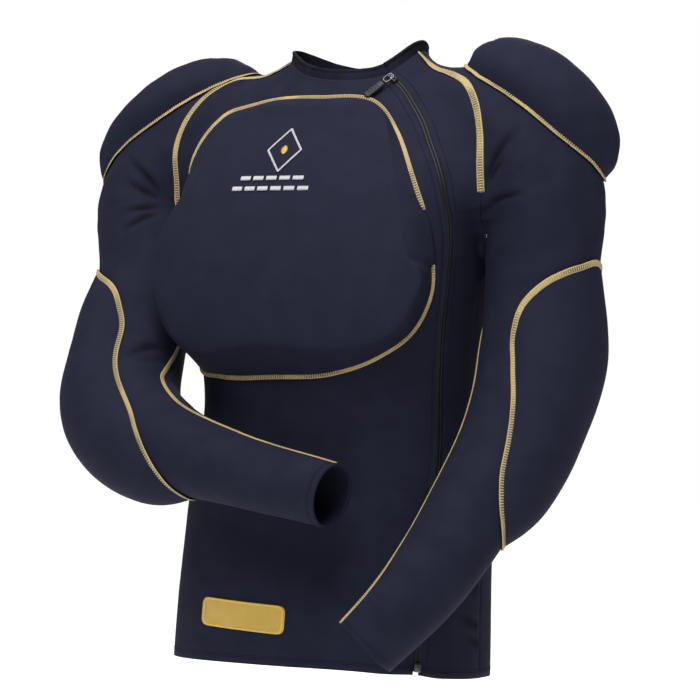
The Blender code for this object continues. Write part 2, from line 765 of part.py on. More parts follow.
def chest_face(x, z):
    depth = curve_through([row.z for row in CHEST_FACE_DEPTH], [row.y for row in CHEST_FACE_DEPTH], z)
    return np.stack([x, depth + CHEST_FACE_CURVE * x * x, z], 1)


def add_chest_pad():
    """A flat-faced pad: its side wall leans from the pocket seam to the face's edge."""
    seam = closed_line(CHEST_SEAM, PAD_SPOKES)
    edge = closed_line(CHEST_FACE, PAD_SPOKES)
    middle = np.array([CHEST_MIDDLE])
    base, base_middle = over_front(*seam.T), over_front(*middle.T)
    rim = base + (LAID_ON + CHEST_RIM_LIFT + PAD_RIM) * outward(base)
    top = [rim]
    face_edge = chest_face(*edge.T)
    for share in (0.25, 0.55, 0.85):
        ring = rim + (face_edge - rim) * share
        short = LAID_ON + PAD_RIM + 0.008 * share - figure_distance(ring)
        top.append(ring + np.maximum(short, 0)[:, None] * outward(ring))
    top[-1][:, 1] += 0.002  # the face's edge is eased
    for share in (0.04, 0.30, 0.65):
        top.append(chest_face(*(edge + (middle - edge) * share).T))
    under = []
    turn, turn_middle = torso_angle(base), torso_angle(base_middle)
    for share in (*CHEST_UNDER_RINGS, 1):
        angle = turn + (turn_middle - turn) * share
        height = base[:, 2] + (base_middle[:, 2] - base[:, 2]) * share
        points = on_figure(torso_point(angle, height), 8)
        under.append(points + (lift(share) + CHEST_RIM_LIFT) * outward(points))
    top_middle = chest_face(*middle.T)[0]
    add_pad("chest_pad", np.array(top), top_middle, np.array(under[:-1]), under[-1][0], PAD_KNIT)


def add_collar(seam):
    """A low stand all round the neck, from one side of the zip to the other."""
    radial = unit(seam * (1, 1, 0))
    along = unit(np.gradient(seam, axis=0))
    up = unit(np.array([0, 0, 1]) - 0.12 * radial)
    up = unit(up - 0.7 * (up * along).sum(1, keepdims=True) * along)
    grid = np.array([seam + COLLAR_HEIGHT * share * up for share in (1.0, 0.5, 0.0)])
    edges = {"left": ZIP_OPENING / 2, "right": ZIP_OPENING / 2, "bottom": 3 * SEAM_GAP}
    inner = grid - CLOTH * radial
    return add_wall("collar", drawn_in(grid, edges), drawn_in(inner, edges), KNIT)


def beside_zip(line, neighbour, offset):
    """A line at this distance from the zip's, on the straight cloth to the panel's next column."""
    apart = np.linalg.norm(neighbour - line, axis=1, keepdims=True)
    share = offset / apart
    return line + (neighbour - line) * share, outward(line) * (1 - share) + outward(neighbour) * share


def zip_columns(line, right, left):
    """Four lines down the zip, from the tape's edge on the wearer's right, and their ways out."""
    found = [
        beside_zip(line, right, TAPE_WIDTH / 2),
        beside_zip(line, right, CHAIN_WIDTH / 2),
        beside_zip(line, left, CHAIN_WIDTH / 2),
        beside_zip(line, left, TAPE_WIDTH / 2),
    ]
    return np.stack([at for at, _ in found], 1), np.stack([out for _, out in found], 1)


def add_strip(name, lines, out, low, high, ends, finish):
    """A bar that follows the zip, between two depths under the cloth's outer face."""
    edges = {"top": ends, "bottom": ends}
    return add_wall(name, drawn_in(lines + high * out, edges), drawn_in(lines + low * out, edges), finish)


def zip_place(line, down, height, lean=0.0):
    """Over the zip, this far down it: X runs up it, Y to the wearer's right and Z out."""
    stations = lengths_along(line)
    near = curve_through(stations, line, np.array([down - 0.002, down, down + 0.002]))
    up = unit(near[0] - near[2])
    out = outward(on_figure(near[1:2]))[0]
    out = unit(out - out.dot(up) * up)
    turned = Matrix(np.array([up, np.cross(out, up), out]).T.tolist()).to_4x4()
    return Matrix.Translation(near[1] + height * out) @ turned @ Matrix.Rotation(lean, 4, "X")


def add_box(name, size, centre, place, finish, bevel=0.0):
    mesh = bpy.data.meshes.new(name)
    work = bmesh.new()
    bmesh.ops.create_cube(work, size=1, matrix=Matrix.Translation(centre) @ Matrix.Diagonal((*size, 1)))
    work.to_mesh(mesh)
    work.free()
    box = bpy.data.objects.new(name, mesh)
    bpy.context.scene.collection.objects.link(box)
    box.matrix_world = place
    if finish:
        mesh.materials.append(new_material(name, finish))
    if bevel:
        edge = box.modifiers.new("Eased edges", "BEVEL")
        edge.width, edge.segments = bevel, 1
    return box


def add_tube_x(name, radius, length, place, sides=16):
    """A round bar about the X axis."""
    mesh = bpy.data.meshes.new(name)
    work = bmesh.new()
    bmesh.ops.create_cone(
        work,
        cap_ends=True,
        segments=sides,
        radius1=radius,
        radius2=radius,
        depth=length,
        matrix=Matrix.Rotation(math.pi / 2, 4, "Y"),
    )
    work.to_mesh(mesh)
    work.free()
    bar = bpy.data.objects.new(name, mesh)
    bpy.context.scene.collection.objects.link(bar)
    bar.matrix_world = place
    return bar


def join_shape(target, other, operation):
    """Adds or cuts another shape, which is then kept only as a guide."""
    step = target.modifiers.new(operation.title(), "BOOLEAN")
    step.operation, step.solver, step.object = operation, "EXACT", other
    other.hide_render = True
    other.display_type = "WIRE"


def add_slider(place):
    """The slider's body with the bail over it; X runs up the zip, Z out of the cloth."""
    bar_height = SLIDER_THICK + BAIL_WINDOW + BAIL_BAR / 2
    slider = add_box(
        "zip_slider",
        (SLIDER_LENGTH, SLIDER_WIDTH, SLIDER_THICK),
        (0, 0, SLIDER_THICK / 2 - bar_height),
        place,
        NICKEL,
    )
    height = BAIL_WINDOW + BAIL_BAR + 0.0006
    bail = add_box(
        "bail", (BAIL_LENGTH, BAIL_BAR, height), (0, 0, BAIL_BAR / 2 - height / 2), place, None
    )
    window = add_box(
        "bail_window",
        (BAIL_LENGTH - 2 * BAIL_BAR, 0.01, BAIL_WINDOW),
        (0, 0, -BAIL_BAR / 2 - BAIL_WINDOW / 2),
        place,
        None,
    )
    join_shape(slider, bail, "UNION")
    join_shape(slider, window, "DIFFERENCE")


def add_pull(place):
    """A link whose eye turns about the bail, and the tab that hangs from it."""
    link = add_tube_x("zip_pull_link", EYE_OUTER, EYE_WIDTH, place)
    link.data.materials.append(new_material("zip_pull_link", NICKEL))
    reach = LINK_LENGTH - EYE_OUTER / 2
    plate = add_box(
        "link_plate",
        (LINK_WIDTH, reach, LINK_THICK),
        (0, EYE_OUTER / 2 + reach / 2, 0),
        place,
        None,
    )
    neck = add_box(
        "link_neck",
        (0.01, 0.0065, 0.01),
        (0.01 / 2 + EYE_WIDTH / 2, 0.0065 / 2 - EYE_OUTER, 0),
        place,
        None,
    )
    other_neck = add_box(
        "link_other_neck",
        (0.01, 0.0065, 0.01),
        (-0.01 / 2 - EYE_WIDTH / 2, 0.0065 / 2 - EYE_OUTER, 0),
        place,
        None,
    )
    hole = add_tube_x("eye_hole", EYE_INNER, 0.02, place)
    slot = add_box(
        "link_slot", (LINK_WIDTH - 0.0034, 0.0034, 0.01), (0, LINK_LENGTH - 0.0034, 0), place, None
    )
    join_shape(link, plate, "UNION")
    for cutter in (neck, other_neck, hole, slot):
        join_shape(link, cutter, "DIFFERENCE")
    tab = add_box(
        "zip_pull_tab",
        (TAB_WIDTH, TAB_LENGTH, TAB_THICK),
        (0, LINK_LENGTH + SEAM_GAP + TAB_LENGTH / 2, 0),
        place,
        TAB,
        bevel=0.0007,
    )
    return link, tab


def add_zip(line, right, left):
    """Tape and chain behind the two fronts, the slider and its pull at the neck, a box at the hem."""
    lines, out = zip_columns(line, right, left)
    tape_top = -(CLOTH + SEAM_GAP)
    add_strip("zip_tape", lines, out, tape_top - TAPE_THICK, tape_top, 0.0010, TAPE)
    chain_low = tape_top + SEAM_GAP
    chain_top = chain_low + CHAIN_THICK
    add_strip("zip_chain", lines[:, 1:3], out[:, 1:3], chain_low, chain_top, 0.0014, COIL)
    axis = chain_top + 2 * SEAM_GAP + SLIDER_THICK + BAIL_WINDOW + BAIL_BAR / 2
    add_slider(zip_place(line, SLIDER_DOWN, axis))
    add_pull(zip_place(line, SLIDER_DOWN, axis, math.radians(-PULL_DROOP)))
    middle = chain_top + 2 * SEAM_GAP + BOX_THICK / 2
    place = zip_place(line, lengths_along(line)[-1] - 0.008, middle)
    add_box("zip_box", (BOX_LENGTH, BOX_WIDTH, BOX_THICK), (0, 0, 0), place, NICKEL, bevel=0.0006)


def add_label_patch():
    """A plain sewn patch with round corners, made from the front's own points, moved out."""
    columns, rows = 9, 4
    half_width, half_height = (PATCH.right - PATCH.left) / 2, (PATCH.top - PATCH.bottom) / 2
    over = np.linspace(-1, 1, columns)
    down = np.linspace(1, -1, rows)
    x, z = np.meshgrid(over * half_width, down * half_height)
    cut = PATCH.corner / 3
    corner = (np.abs(x) > half_width - 1e-6) & (np.abs(z) > half_height - 1e-6)
    x = np.where(corner, np.sign(x) * (half_width - cut), x)
    z = np.where(corner, np.sign(z) * (half_height - cut), z)
    x = x + (PATCH.left + PATCH.right) / 2
    z = z + (PATCH.top + PATCH.bottom) / 2
    base = over_front(x.ravel(), z.ravel()).reshape(rows, columns, 3)
    out = outward(base)
    low = base + PATCH_LAID_ON * out
    return add_wall("label_patch", low + PATCH_THICK * out, low, YELLOW)


def clear_scene():
    for thing in list(bpy.data.objects):
        bpy.data.objects.remove(thing, do_unlink=True)


def main():
    clear_scene()
    pits = {side: armpit(side) for side in (-1, 1)}
    fronts = {-1: RAGLAN_FRONT_RIGHT, 1: RAGLAN_FRONT_LEFT}
    backs = {-1: RAGLAN_BACK_RIGHT, 1: RAGLAN_BACK_LEFT}
    raglan_front, raglan_back, sides, sleeve_neck = {}, {}, {}, {}
    for side in (-1, 1):
        ends = neck_point(np.array([side * RAGLAN_FRONT_ANGLE, side * RAGLAN_BACK_ANGLE]))
        raglan_front[side] = even_line([ends[0], *fronts[side], pits[side]], RAGLAN_CUTS)
        raglan_back[side] = even_line([ends[1], *backs[side], pits[side]], RAGLAN_CUTS)
        sides[side] = side_seam(side, pits[side])
        sleeve_neck[side] = neck_arc(side * RAGLAN_FRONT_ANGLE, side * RAGLAN_BACK_ANGLE, SLEEVE_NECK_CUTS)

    line = zip_line()
    front_neck = neck_arc(-RAGLAN_FRONT_ANGLE, ZIP_ANGLE, FRONT_CUTS)
    strip_neck = neck_arc(ZIP_ANGLE, RAGLAN_FRONT_ANGLE, FRONT_STRIP_CUTS)
    half_back = neck_arc(RAGLAN_BACK_ANGLE, 180, BACK_CUTS // 2)
    other_half = neck_arc(-180, -RAGLAN_BACK_ANGLE, BACK_CUTS // 2)
    back_neck = np.concatenate([half_back, other_half[1:]])

    seam, zip_edge, free = SEAM_GAP, ZIP_OPENING / 2, 0.0
    left = np.concatenate([raglan_front[-1], sides[-1][1:]])
    hem = hem_line(left[-1], line[-1], FRONT_CUTS, -1)
    front_right = panel_grid(left, line, front_neck, hem, -1)
    add_panel("front_right", front_right, {"top": free, "left": seam, "right": zip_edge})
    right = np.concatenate([raglan_front[1], sides[1][1:]])
    hem = hem_line(line[-1], right[-1], FRONT_STRIP_CUTS, -1)
    front_left = panel_grid(line, right, strip_neck, hem, -1)
    add_panel("front_left", front_left, {"top": free, "left": zip_edge, "right": seam})
    left = np.concatenate([raglan_back[1], sides[1][1:]])
    right = np.concatenate([raglan_back[-1], sides[-1][1:]])
    hem = hem_line(left[-1], right[-1], BACK_CUTS, 1)
    back = panel_grid(left, right, back_neck, hem, 1)
    add_panel("back_panel", back, {"top": free, "left": seam, "right": seam})

    for side, name in ((-1, "right"), (1, "left")):
        arm = ARMS[side]
        loop = np.concatenate(
            [raglan_front[side][:0:-1], sleeve_neck[side][:-1], raglan_back[side][:-1]]
        )
        add_sleeve("sleeve_" + name, arm, sleeve_grid(arm, loop))
        add_shoulder_pad("shoulder_pad_" + name, side, SHOULDER_LEFT if side > 0 else SHOULDER_RIGHT)
    add_elbow_pad("elbow_pad_right", ARMS[-1], ELBOW_RIGHT)
    add_elbow_pad("elbow_pad_left", ARMS[1], ELBOW_LEFT)
    add_chest_pad()
    add_collar(
        np.concatenate(
            [
                strip_neck[:-1],
                sleeve_neck[1][:-1],
                back_neck[:-1],
                sleeve_neck[-1][:0:-1],
                front_neck,
            ]
        )
    )
    add_label_patch()

    add_zip(line, front_right[:, -2], front_left[:, 1])


main()
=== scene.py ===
import json
import math
from functools import partial

import bmesh
import bpy
import numpy as np
from mathutils import Matrix, Vector, noise

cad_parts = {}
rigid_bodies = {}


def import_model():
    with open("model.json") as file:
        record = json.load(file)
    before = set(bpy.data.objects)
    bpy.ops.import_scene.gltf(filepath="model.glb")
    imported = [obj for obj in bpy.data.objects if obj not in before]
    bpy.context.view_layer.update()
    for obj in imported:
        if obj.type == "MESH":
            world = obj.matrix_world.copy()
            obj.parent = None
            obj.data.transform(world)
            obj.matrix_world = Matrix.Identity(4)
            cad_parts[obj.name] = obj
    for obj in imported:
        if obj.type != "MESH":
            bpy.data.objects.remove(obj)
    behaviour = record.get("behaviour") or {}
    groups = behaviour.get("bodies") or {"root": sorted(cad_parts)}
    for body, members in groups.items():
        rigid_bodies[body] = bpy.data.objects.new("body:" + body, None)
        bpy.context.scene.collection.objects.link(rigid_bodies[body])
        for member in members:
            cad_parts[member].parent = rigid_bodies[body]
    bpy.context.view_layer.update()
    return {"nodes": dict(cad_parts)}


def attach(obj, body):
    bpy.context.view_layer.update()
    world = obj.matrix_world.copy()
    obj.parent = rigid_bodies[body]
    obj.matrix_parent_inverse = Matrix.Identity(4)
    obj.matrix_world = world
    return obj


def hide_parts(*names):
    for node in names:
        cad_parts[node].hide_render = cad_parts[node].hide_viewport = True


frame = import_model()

print("frame loaded")

cloth = {"thick": 0.002, "gap": 0.00015}
hands = ((-1, "Right"), (1, "Left"))  # the wearer's


def curveThrough(stations, values, at):
    stations = np.asarray(stations, float)
    values = np.asarray(values, float)
    slopes = np.gradient(values, stations, axis=0)
    at = np.clip(at, stations[0], stations[-1])
    right = np.clip(np.searchsorted(stations, at), 1, len(stations) - 1)
    left = right - 1
    span = stations[right] - stations[left]
    t = (at - stations[left]) / span
    if values.ndim > 1:
        shape = t.shape + (1,) * (values.ndim - 1)
        t, span = t.reshape(shape), span.reshape(shape)
    return (
        (2 * t**3 - 3 * t**2 + 1) * values[left]
        + (t**3 - 2 * t**2 + t) * span * slopes[left]
        + (3 * t**2 - 2 * t**3) * values[right]
        + (t**3 - t**2) * span * slopes[right]
    )


def lengthsAlong(points):
    steps = np.linalg.norm(np.diff(points, axis=0), axis=1)
    return np.concatenate([[0], np.cumsum(steps)])


def unit(vectors):
    return vectors / np.maximum(np.linalg.norm(vectors, axis=-1, keepdims=True), 1e-12)


def smoothStep(low, high, value):
    t = np.clip((value - low) / (high - low), 0, 1)
    return t * t * (3 - 2 * t)


# The wearer's general figure: rows of height, half width, front, back and squareness in front.
torso = {
    "rows": [
        (-0.69, 0.186, -0.148, 0.1, 2.3), (-0.58, 0.183, -0.14, 0.096, 2.3),
        (-0.47, 0.178, -0.128, 0.096, 2.3), (-0.36, 0.16, -0.124, 0.098, 2.5),
        (-0.3, 0.159, -0.132, 0.102, 3.0), (-0.24, 0.163, -0.138, 0.108, 3.6),
        (-0.18, 0.171, -0.138, 0.112, 3.8), (-0.12, 0.177, -0.128, 0.112, 3.6),
        (-0.075, 0.165, -0.11, 0.102, 2.8), (-0.04, 0.13, -0.09, 0.086, 2.4),
        (-0.01, 0.09, -0.072, 0.07, 2.2), (0.02, 0.076, -0.062, 0.062, 2.0),
        (0.06, 0.072, -0.058, 0.058, 2.0),
    ],
    "backSquareness": 2.45,
}
# Rows of each arm's middle line, radius and the direction of its inner seam.
armRows = {
    -1: [
        (-0.04, 0.01, -0.04, 0.052, 0, 0, -1), (-0.115, 0.006, -0.044, 0.06, 0, 0, -1),
        (-0.207, 0.002, -0.067, 0.068, 1, 0, -1), (-0.258, -0.01, -0.13, 0.07, 1, 0, 0),
        (-0.244, -0.04, -0.215, 0.063, 1, 0, 0), (-0.233, -0.086, -0.308, 0.057, 1, 0, 0),
        (-0.206, -0.13, -0.374, 0.057, 1, 0, 1), (-0.145, -0.156, -0.407, 0.05, 0, 0, 1),
        (-0.04, -0.176, -0.431, 0.039, 0, 0, 1), (0.09, -0.189, -0.451, 0.0335, 0, 0, 1),
    ],
    1: [
        (0.04, 0.01, -0.04, 0.052, 0, 0, -1), (0.115, 0.006, -0.044, 0.06, 0, 0, -1),
        (0.19, 0.002, -0.06, 0.067, -1, 0, -1), (0.227, 0.002, -0.115, 0.067, -1, 0, 0),
        (0.232, 0.002, -0.21, 0.061, -1, -0.3, 0), (0.23, -0.01, -0.31, 0.0585, -1, -0.8, 0),
        (0.224, -0.044, -0.385, 0.053, -1, -0.8, 0), (0.208, -0.098, -0.46, 0.047, -1, -0.8, 0),
        (0.185, -0.168, -0.54, 0.041, -1, -0.8, 0), (0.137, -0.195, -0.602, 0.036, -1, -0.8, 0),
    ],
}
armShape = {"stations": 48, "blend": 0.045, "blendFades": (0.28, 0.40), "tubeStarts": 0.41}


class Arm:
    def __init__(self, rows, side):
        self.rows = np.array(rows, float)
        self.stations = lengthsAlong(self.rows[:, :3])
        self.length = self.stations[-1]
        line = curveThrough(self.stations, self.rows, np.linspace(0, self.length, armShape["stations"]))
        self.centres, self.radii = line[:, :3], line[:, 3]
        self.side = side

    def frame(self, along):
        step = 0.002
        here = curveThrough(self.stations, self.rows, along)
        ahead = curveThrough(self.stations, self.rows, np.minimum(along + step, self.length))
        behind = curveThrough(self.stations, self.rows, np.maximum(along - step, 0))
        run = unit(ahead[..., :3] - behind[..., :3])
        seam = here[..., 4:]
        seam = unit(seam - (seam * run).sum(-1, keepdims=True) * run)
        front = np.cross(run, seam) if self.side < 0 else np.cross(seam, run)
        return here[..., :3], here[..., 3:4], seam, front

    def points(self, along, degrees, over=0.0):
        along, degrees = np.broadcast_arrays(np.asarray(along, float), degrees)
        centre, radius, seam, front = self.frame(along)
        turn = np.radians(degrees)[..., None]
        out = np.cos(turn) * seam + np.sin(turn) * front
        return centre + (radius + np.asarray(over)[..., None]) * out, out


arms = {side: Arm(rows, side) for side, rows in armRows.items()}


def torsoSection(height):
    rows = np.array(torso["rows"])
    return curveThrough(rows[:, 0], rows[:, 1:], height).T


def torsoPoint(angle, height, facing=-1):
    angle, height = np.broadcast_arrays(np.asarray(angle, float), np.asarray(height, float))
    halfWidth, front, back, squareness = torsoSection(height.ravel())
    middle, halfDepth = (front + back) / 2, (back - front) / 2
    across, ahead = np.sin(angle.ravel()), facing * np.cos(angle.ravel())
    power = np.where(ahead < 0, squareness, torso["backSquareness"])
    share = (np.abs(across / halfWidth) ** power + np.abs(ahead / halfDepth) ** power) ** (1 / power)
    points = np.stack([across / share, middle + ahead / share, height.ravel()], 1)
    return points.reshape(*angle.shape, 3)


def torsoAngle(points, facing=-1):
    flat = points.reshape(-1, 3)
    _, front, back, _ = torsoSection(flat[:, 2])
    angle = np.arctan2(flat[:, 0], facing * (flat[:, 1] - (front + back) / 2))
    return angle.reshape(points.shape[:-1])


def torsoDistance(points):
    halfWidth, front, back, squareness = torsoSection(points[:, 2])
    x, y = points[:, 0], points[:, 1] - (front + back) / 2
    power = np.where(y < 0, squareness, torso["backSquareness"])
    out = np.hypot(x, y) + 1e-9
    halfDepth = (back - front) / 2
    share = (np.abs(x / halfWidth) ** power + np.abs(y / halfDepth) ** power) ** (1 / power)
    return out - out / np.maximum(share, 1e-6)


def armDistance(points, arm):
    start, run = arm.centres[:-1], np.diff(arm.centres, axis=0)
    best = np.full(len(points), 9.0)
    along = np.zeros(len(points))
    for index in range(len(start)):
        away = points - start[index]
        t = np.clip(away @ run[index] / (run[index] @ run[index]), 0, 1)
        away = np.linalg.norm(away - t[:, None] * run[index], axis=1)
        away -= arm.radii[index] + t * (arm.radii[index + 1] - arm.radii[index])
        nearer = away < best
        best = np.where(nearer, away, best)
        along = np.where(nearer, (index + t) / len(start), along)
    return best, along


def figureDistance(points):
    distance = torsoDistance(points)
    for arm in arms.values():
        away, along = armDistance(points, arm)
        blend = 0.001 + armShape["blend"] * (1 - smoothStep(*armShape["blendFades"], along))
        near = np.maximum(blend - np.abs(distance - away), 0)
        distance = np.minimum(distance, away) - near**2 / (4 * blend)
    return distance


def figureSlope(points, step=4e-4):
    corners = np.array([[1, -1, -1], [-1, -1, 1], [-1, 1, -1], [1, 1, 1]], float)
    return sum(corner * figureDistance(points + step * corner)[:, None] for corner in corners) / (4 * step)


def outward(points):
    return unit(figureSlope(points.reshape(-1, 3))).reshape(points.shape)


def onFigure(points, steps=5, longest=0.02):
    flat = points.reshape(-1, 3).copy()
    for _ in range(steps):
        slope = figureSlope(flat)
        move = -figureDistance(flat)[:, None] * slope / (slope * slope).sum(1, keepdims=True)
        size = np.linalg.norm(move, axis=1, keepdims=True)
        flat += move * np.minimum(1, longest / np.maximum(size, 1e-9))
    return flat.reshape(points.shape)


def evenLine(spots, cuts):
    spots = np.array(spots, float)
    stations = lengthsAlong(spots)
    line = onFigure(curveThrough(stations, spots, np.linspace(0, stations[-1], 8 * cuts + 1)))
    stations = lengthsAlong(line)
    at = np.linspace(0, stations[-1], cuts + 1)
    inner = np.stack([np.interp(at, stations, line[:, i]) for i in range(3)], 1)
    inner[1:-1] = onFigure(inner[1:-1])
    return inner


def settled(grid, roundTrip=False, rounds=24):
    for _ in range(rounds):
        across = (np.roll(grid, 1, 1) + np.roll(grid, -1, 1)) / 2
        mean = (across[1:-1] + (grid[2:] + grid[:-2]) / 2) / 2
        if roundTrip:
            grid[1:-1] = onFigure(mean, 2)
        else:
            grid[1:-1, 1:-1] = onFigure(mean[:, 1:-1], 2)
    return grid


def drawnIn(grid, edges):
    moved = grid.copy()
    views = {
        "top": (grid[0], grid[1], (0, slice(None))),
        "bottom": (grid[-1], grid[-2], (-1, slice(None))),
        "left": (grid[:, 0], grid[:, 1], (slice(None), 0)),
        "right": (grid[:, -1], grid[:, -2], (slice(None), -1)),
    }
    for name, amount in edges.items():
        edge, beside, place = views[name]
        along = unit(np.gradient(edge, axis=0))
        inwards = beside - edge
        inwards = unit(inwards - (inwards * along).sum(1, keepdims=True) * along)
        moved[place] += amount * inwards
    return moved


# Cuts across each coarse grid, and how many times finer each is drawn.
cuts = {"raglan": 10, "side": 13, "sleeveNeck": 4, "front": 14, "strip": 4, "back": 14, "cap": 8, "arm": 19}
finer = {"front": 9, "strip": 9, "back": 6, "sleeve": 8}

collar = {
    "neck": [
        (-210, 0.017), (-180, 0.012), (-150, 0.014), (-120, 0.019), (-90, 0.022), (-60, 0.018),
        (-30, 0.004), (0, -0.003), (30, -0.004), (52, 0.001), (68, 0.014), (90, 0.033),
        (120, 0.029), (150, 0.017), (180, 0.012), (210, 0.014),
    ],
    "height": 0.012,
    "opening": 0.0085,
}
hem = {"rows": [
    (-180, -0.662), (-90, -0.656), (-30, -0.644), (0, -0.641), (45, -0.639), (90, -0.649),
    (180, -0.662),
]}
raglan = {
    "frontAngle": 84,
    "backAngle": 126,
    "front": {
        -1: [
            (-0.1, -0.02, 0.014), (-0.155, -0.03, 0.004), (-0.178, -0.053, -0.02),
            (-0.194, -0.064, -0.05), (-0.202, -0.07, -0.09), (-0.198, -0.074, -0.132),
            (-0.185, -0.055, -0.172),
        ],
        1: [
            (0.108, -0.02, 0.012), (0.154, -0.045, -0.006), (0.174, -0.06, -0.029),
            (0.184, -0.067, -0.062), (0.187, -0.07, -0.094), (0.19, -0.069, -0.13),
            (0.183, -0.05, -0.172),
        ],
    },
    "back": [
        (0.096, 0.052, 0.008), (0.126, 0.064, -0.016), (0.146, 0.074, -0.05),
        (0.157, 0.074, -0.092), (0.165, 0.062, -0.136), (0.173, 0.034, -0.176),
    ],
}
zipShape = {
    "angle": 52,
    "rows": [
        (-0.67, 0.15), (-0.57, 0.151), (-0.42, 0.152), (-0.36, 0.149), (-0.3, 0.152),
        (-0.25, 0.157), (-0.2, 0.163), (-0.149, 0.164), (-0.107, 0.153), (-0.074, 0.133),
        (-0.045, 0.11), (-0.028, 0.092), (-0.014, 0.077), (0.002, 0.062),
    ],
    "opening": 0.0085,
    "tapeWidth": 0.016,
    "tapeThick": 0.0008,
    "sliderDown": 0.0095,
}


def neckPoint(degrees):
    rows = np.array(collar["neck"])
    return onFigure(torsoPoint(np.radians(degrees), curveThrough(rows[:, 0], rows[:, 1], degrees)))


def neckArc(first, last, count):
    return neckPoint(np.linspace(first, last, count + 1))


def armpit(side):
    point = np.array([[side * 0.171, -0.004, -0.260]])
    while figureDistance(point)[0] > 0:
        point[0, 2] += 0.0005
    return onFigure(point)[0]


def hemHeight(angle):
    rows = np.array(hem["rows"])
    return curveThrough(rows[:, 0], rows[:, 1], np.degrees(angle))


def sideSeam(side, start):
    angle = side * math.pi / 2
    share = np.linspace(0, 1, cuts["side"] + 1)[1:] ** 1.1
    below = torsoPoint(angle, start[2] + (hemHeight(angle) - start[2]) * share)
    return np.concatenate([[start], below])


def overFront(x, z):
    halfWidth, front, back, power = torsoSection(z)
    reach = np.clip(np.abs(x) / halfWidth, 0, 0.985)
    depth = (1 - reach**power) ** (1 / power)
    return onFigure(np.stack([x, (front + back) / 2 - depth * (back - front) / 2, z], 1))


def zipLine():
    top = neckPoint(np.array([zipShape["angle"]]))[0]
    armpitHeight = -0.200
    end = hemHeight(math.radians(zipShape["angle"]))
    heights = np.concatenate(
        [
            np.linspace(top[2], armpitHeight, cuts["raglan"] + 1),
            np.linspace(armpitHeight, end, cuts["side"] + 1)[1:],
        ]
    )
    rows = np.array(zipShape["rows"])
    across = curveThrough(rows[:, 0], rows[:, 1], heights)
    halfWidth, front, back, power = torsoSection(heights)
    reach = np.clip(np.abs(across) / halfWidth, 0, 0.995)
    depth = (1 - reach**power) ** (1 / power)
    points = onFigure(np.stack([across, (front + back) / 2 - depth * (back - front) / 2, heights], 1))
    points[0] = top
    return points


def hemLine(start, end, count, facing):
    angles = np.linspace(torsoAngle(start, facing), torsoAngle(end, facing), count + 1)
    turn = angles if facing < 0 else np.sign(angles + 1e-9) * math.pi - angles
    line = torsoPoint(angles, hemHeight(turn), facing)
    line[0], line[-1] = start, end
    return line


def panelGrid(left, right, top, bottom, facing):
    rows, columns = len(left), len(top)
    down, over = np.linspace(0, 1, rows)[:, None, None], np.linspace(0, 1, columns)[None, :, None]

    def flat(points):
        return np.stack([torsoAngle(points, facing), points[:, 2]], -1)

    a, b, c, d = flat(left)[:, None], flat(right)[:, None], flat(top)[None], flat(bottom)[None]
    corners = (1 - down) * ((1 - over) * c[:, :1] + over * c[:, -1:]) + down * (
        (1 - over) * d[:, :1] + over * d[:, -1:]
    )
    blended = (1 - over) * a + over * b + (1 - down) * c + down * d - corners
    grid = onFigure(torsoPoint(blended[..., 0], blended[..., 1], facing), 8)
    grid[:, 0], grid[:, -1], grid[0], grid[-1] = left, right, top, bottom
    return settled(grid)


def sleeveCap(arm, loop):
    degrees = np.arange(len(loop)) * 360 / len(loop)
    station = np.linspace(0, arm.length, armShape["stations"])
    first = station[[np.linalg.norm(arm.centres - point, axis=1).argmin() for point in loop]]
    last = armShape["tubeStarts"] * arm.length
    first = np.minimum(first, last - 0.03)
    share = np.linspace(0, 1, cuts["cap"] + 1)[:, None]
    cap, _ = arm.points(first + (last - first) * share, degrees)
    cap += (loop - cap[0]) * (1 - share[..., None]) ** 1.5
    cap[1:-1] = onFigure(cap[1:-1])
    return settled(cap, roundTrip=True)


def closedLine(spots, count):
    spots = np.array(spots, float)
    wrapped = np.concatenate([spots[-3:], spots, spots[:3]])
    stations = lengthsAlong(wrapped)
    line = curveThrough(stations, wrapped, np.linspace(stations[3], stations[-3], 16 * count + 1))
    stations = lengthsAlong(line)
    even = np.linspace(0, stations[-1], count + 1)[:-1]
    return np.stack([np.interp(even, stations, line[:, i]) for i in range(spots.shape[1])], 1)


def addMesh(name, points, faces, material, smooth=True, recalc=True):
    mesh = bpy.data.meshes.new(name)
    mesh.from_pydata(np.asarray(points).tolist(), [], [list(map(int, face)) for face in faces])
    if recalc:
        work = bmesh.new()
        work.from_mesh(mesh)
        bmesh.ops.recalc_face_normals(work, faces=work.faces[:])
        work.to_mesh(mesh)
        work.free()
    if smooth:
        mesh.shade_smooth()
    solid = bpy.data.objects.new(name, mesh)
    bpy.context.scene.collection.objects.link(solid)
    mesh.materials.append(material)
    return solid


def wallFaces(rows, columns, roundTrip):
    last = columns if roundTrip else columns - 1
    row, column = np.meshgrid(np.arange(rows - 1), np.arange(last), indexing="ij")
    row, column, beside = row.ravel(), column.ravel(), (column.ravel() + 1) % columns
    quads = np.stack(
        [row * columns + column, row * columns + beside,
         (row + 1) * columns + beside, (row + 1) * columns + column],
        1,
    )
    back = rows * columns
    rims = []
    ends = np.arange(last)
    for edge in (0, rows - 1):
        rims.append((edge * columns + ends, edge * columns + (ends + 1) % columns))
    if not roundTrip:
        sides = np.arange(rows - 1) * columns
        for edge in (0, columns - 1):
            rims.append((sides + edge, sides + edge + columns))
    rim = np.concatenate([np.stack([a, b, back + b, back + a], 1) for a, b in rims])
    return np.concatenate([quads, back + quads[:, ::-1], rim])


def tubeFaces(rows, around):
    faces = []
    for row in range(rows - 1):
        for step in range(around):
            a, b = row * around + step, row * around + (step + 1) % around
            faces.append([a, b, b + around, a + around])
    return faces + [list(range(around))[::-1], [(rows - 1) * around + step for step in range(around)]]


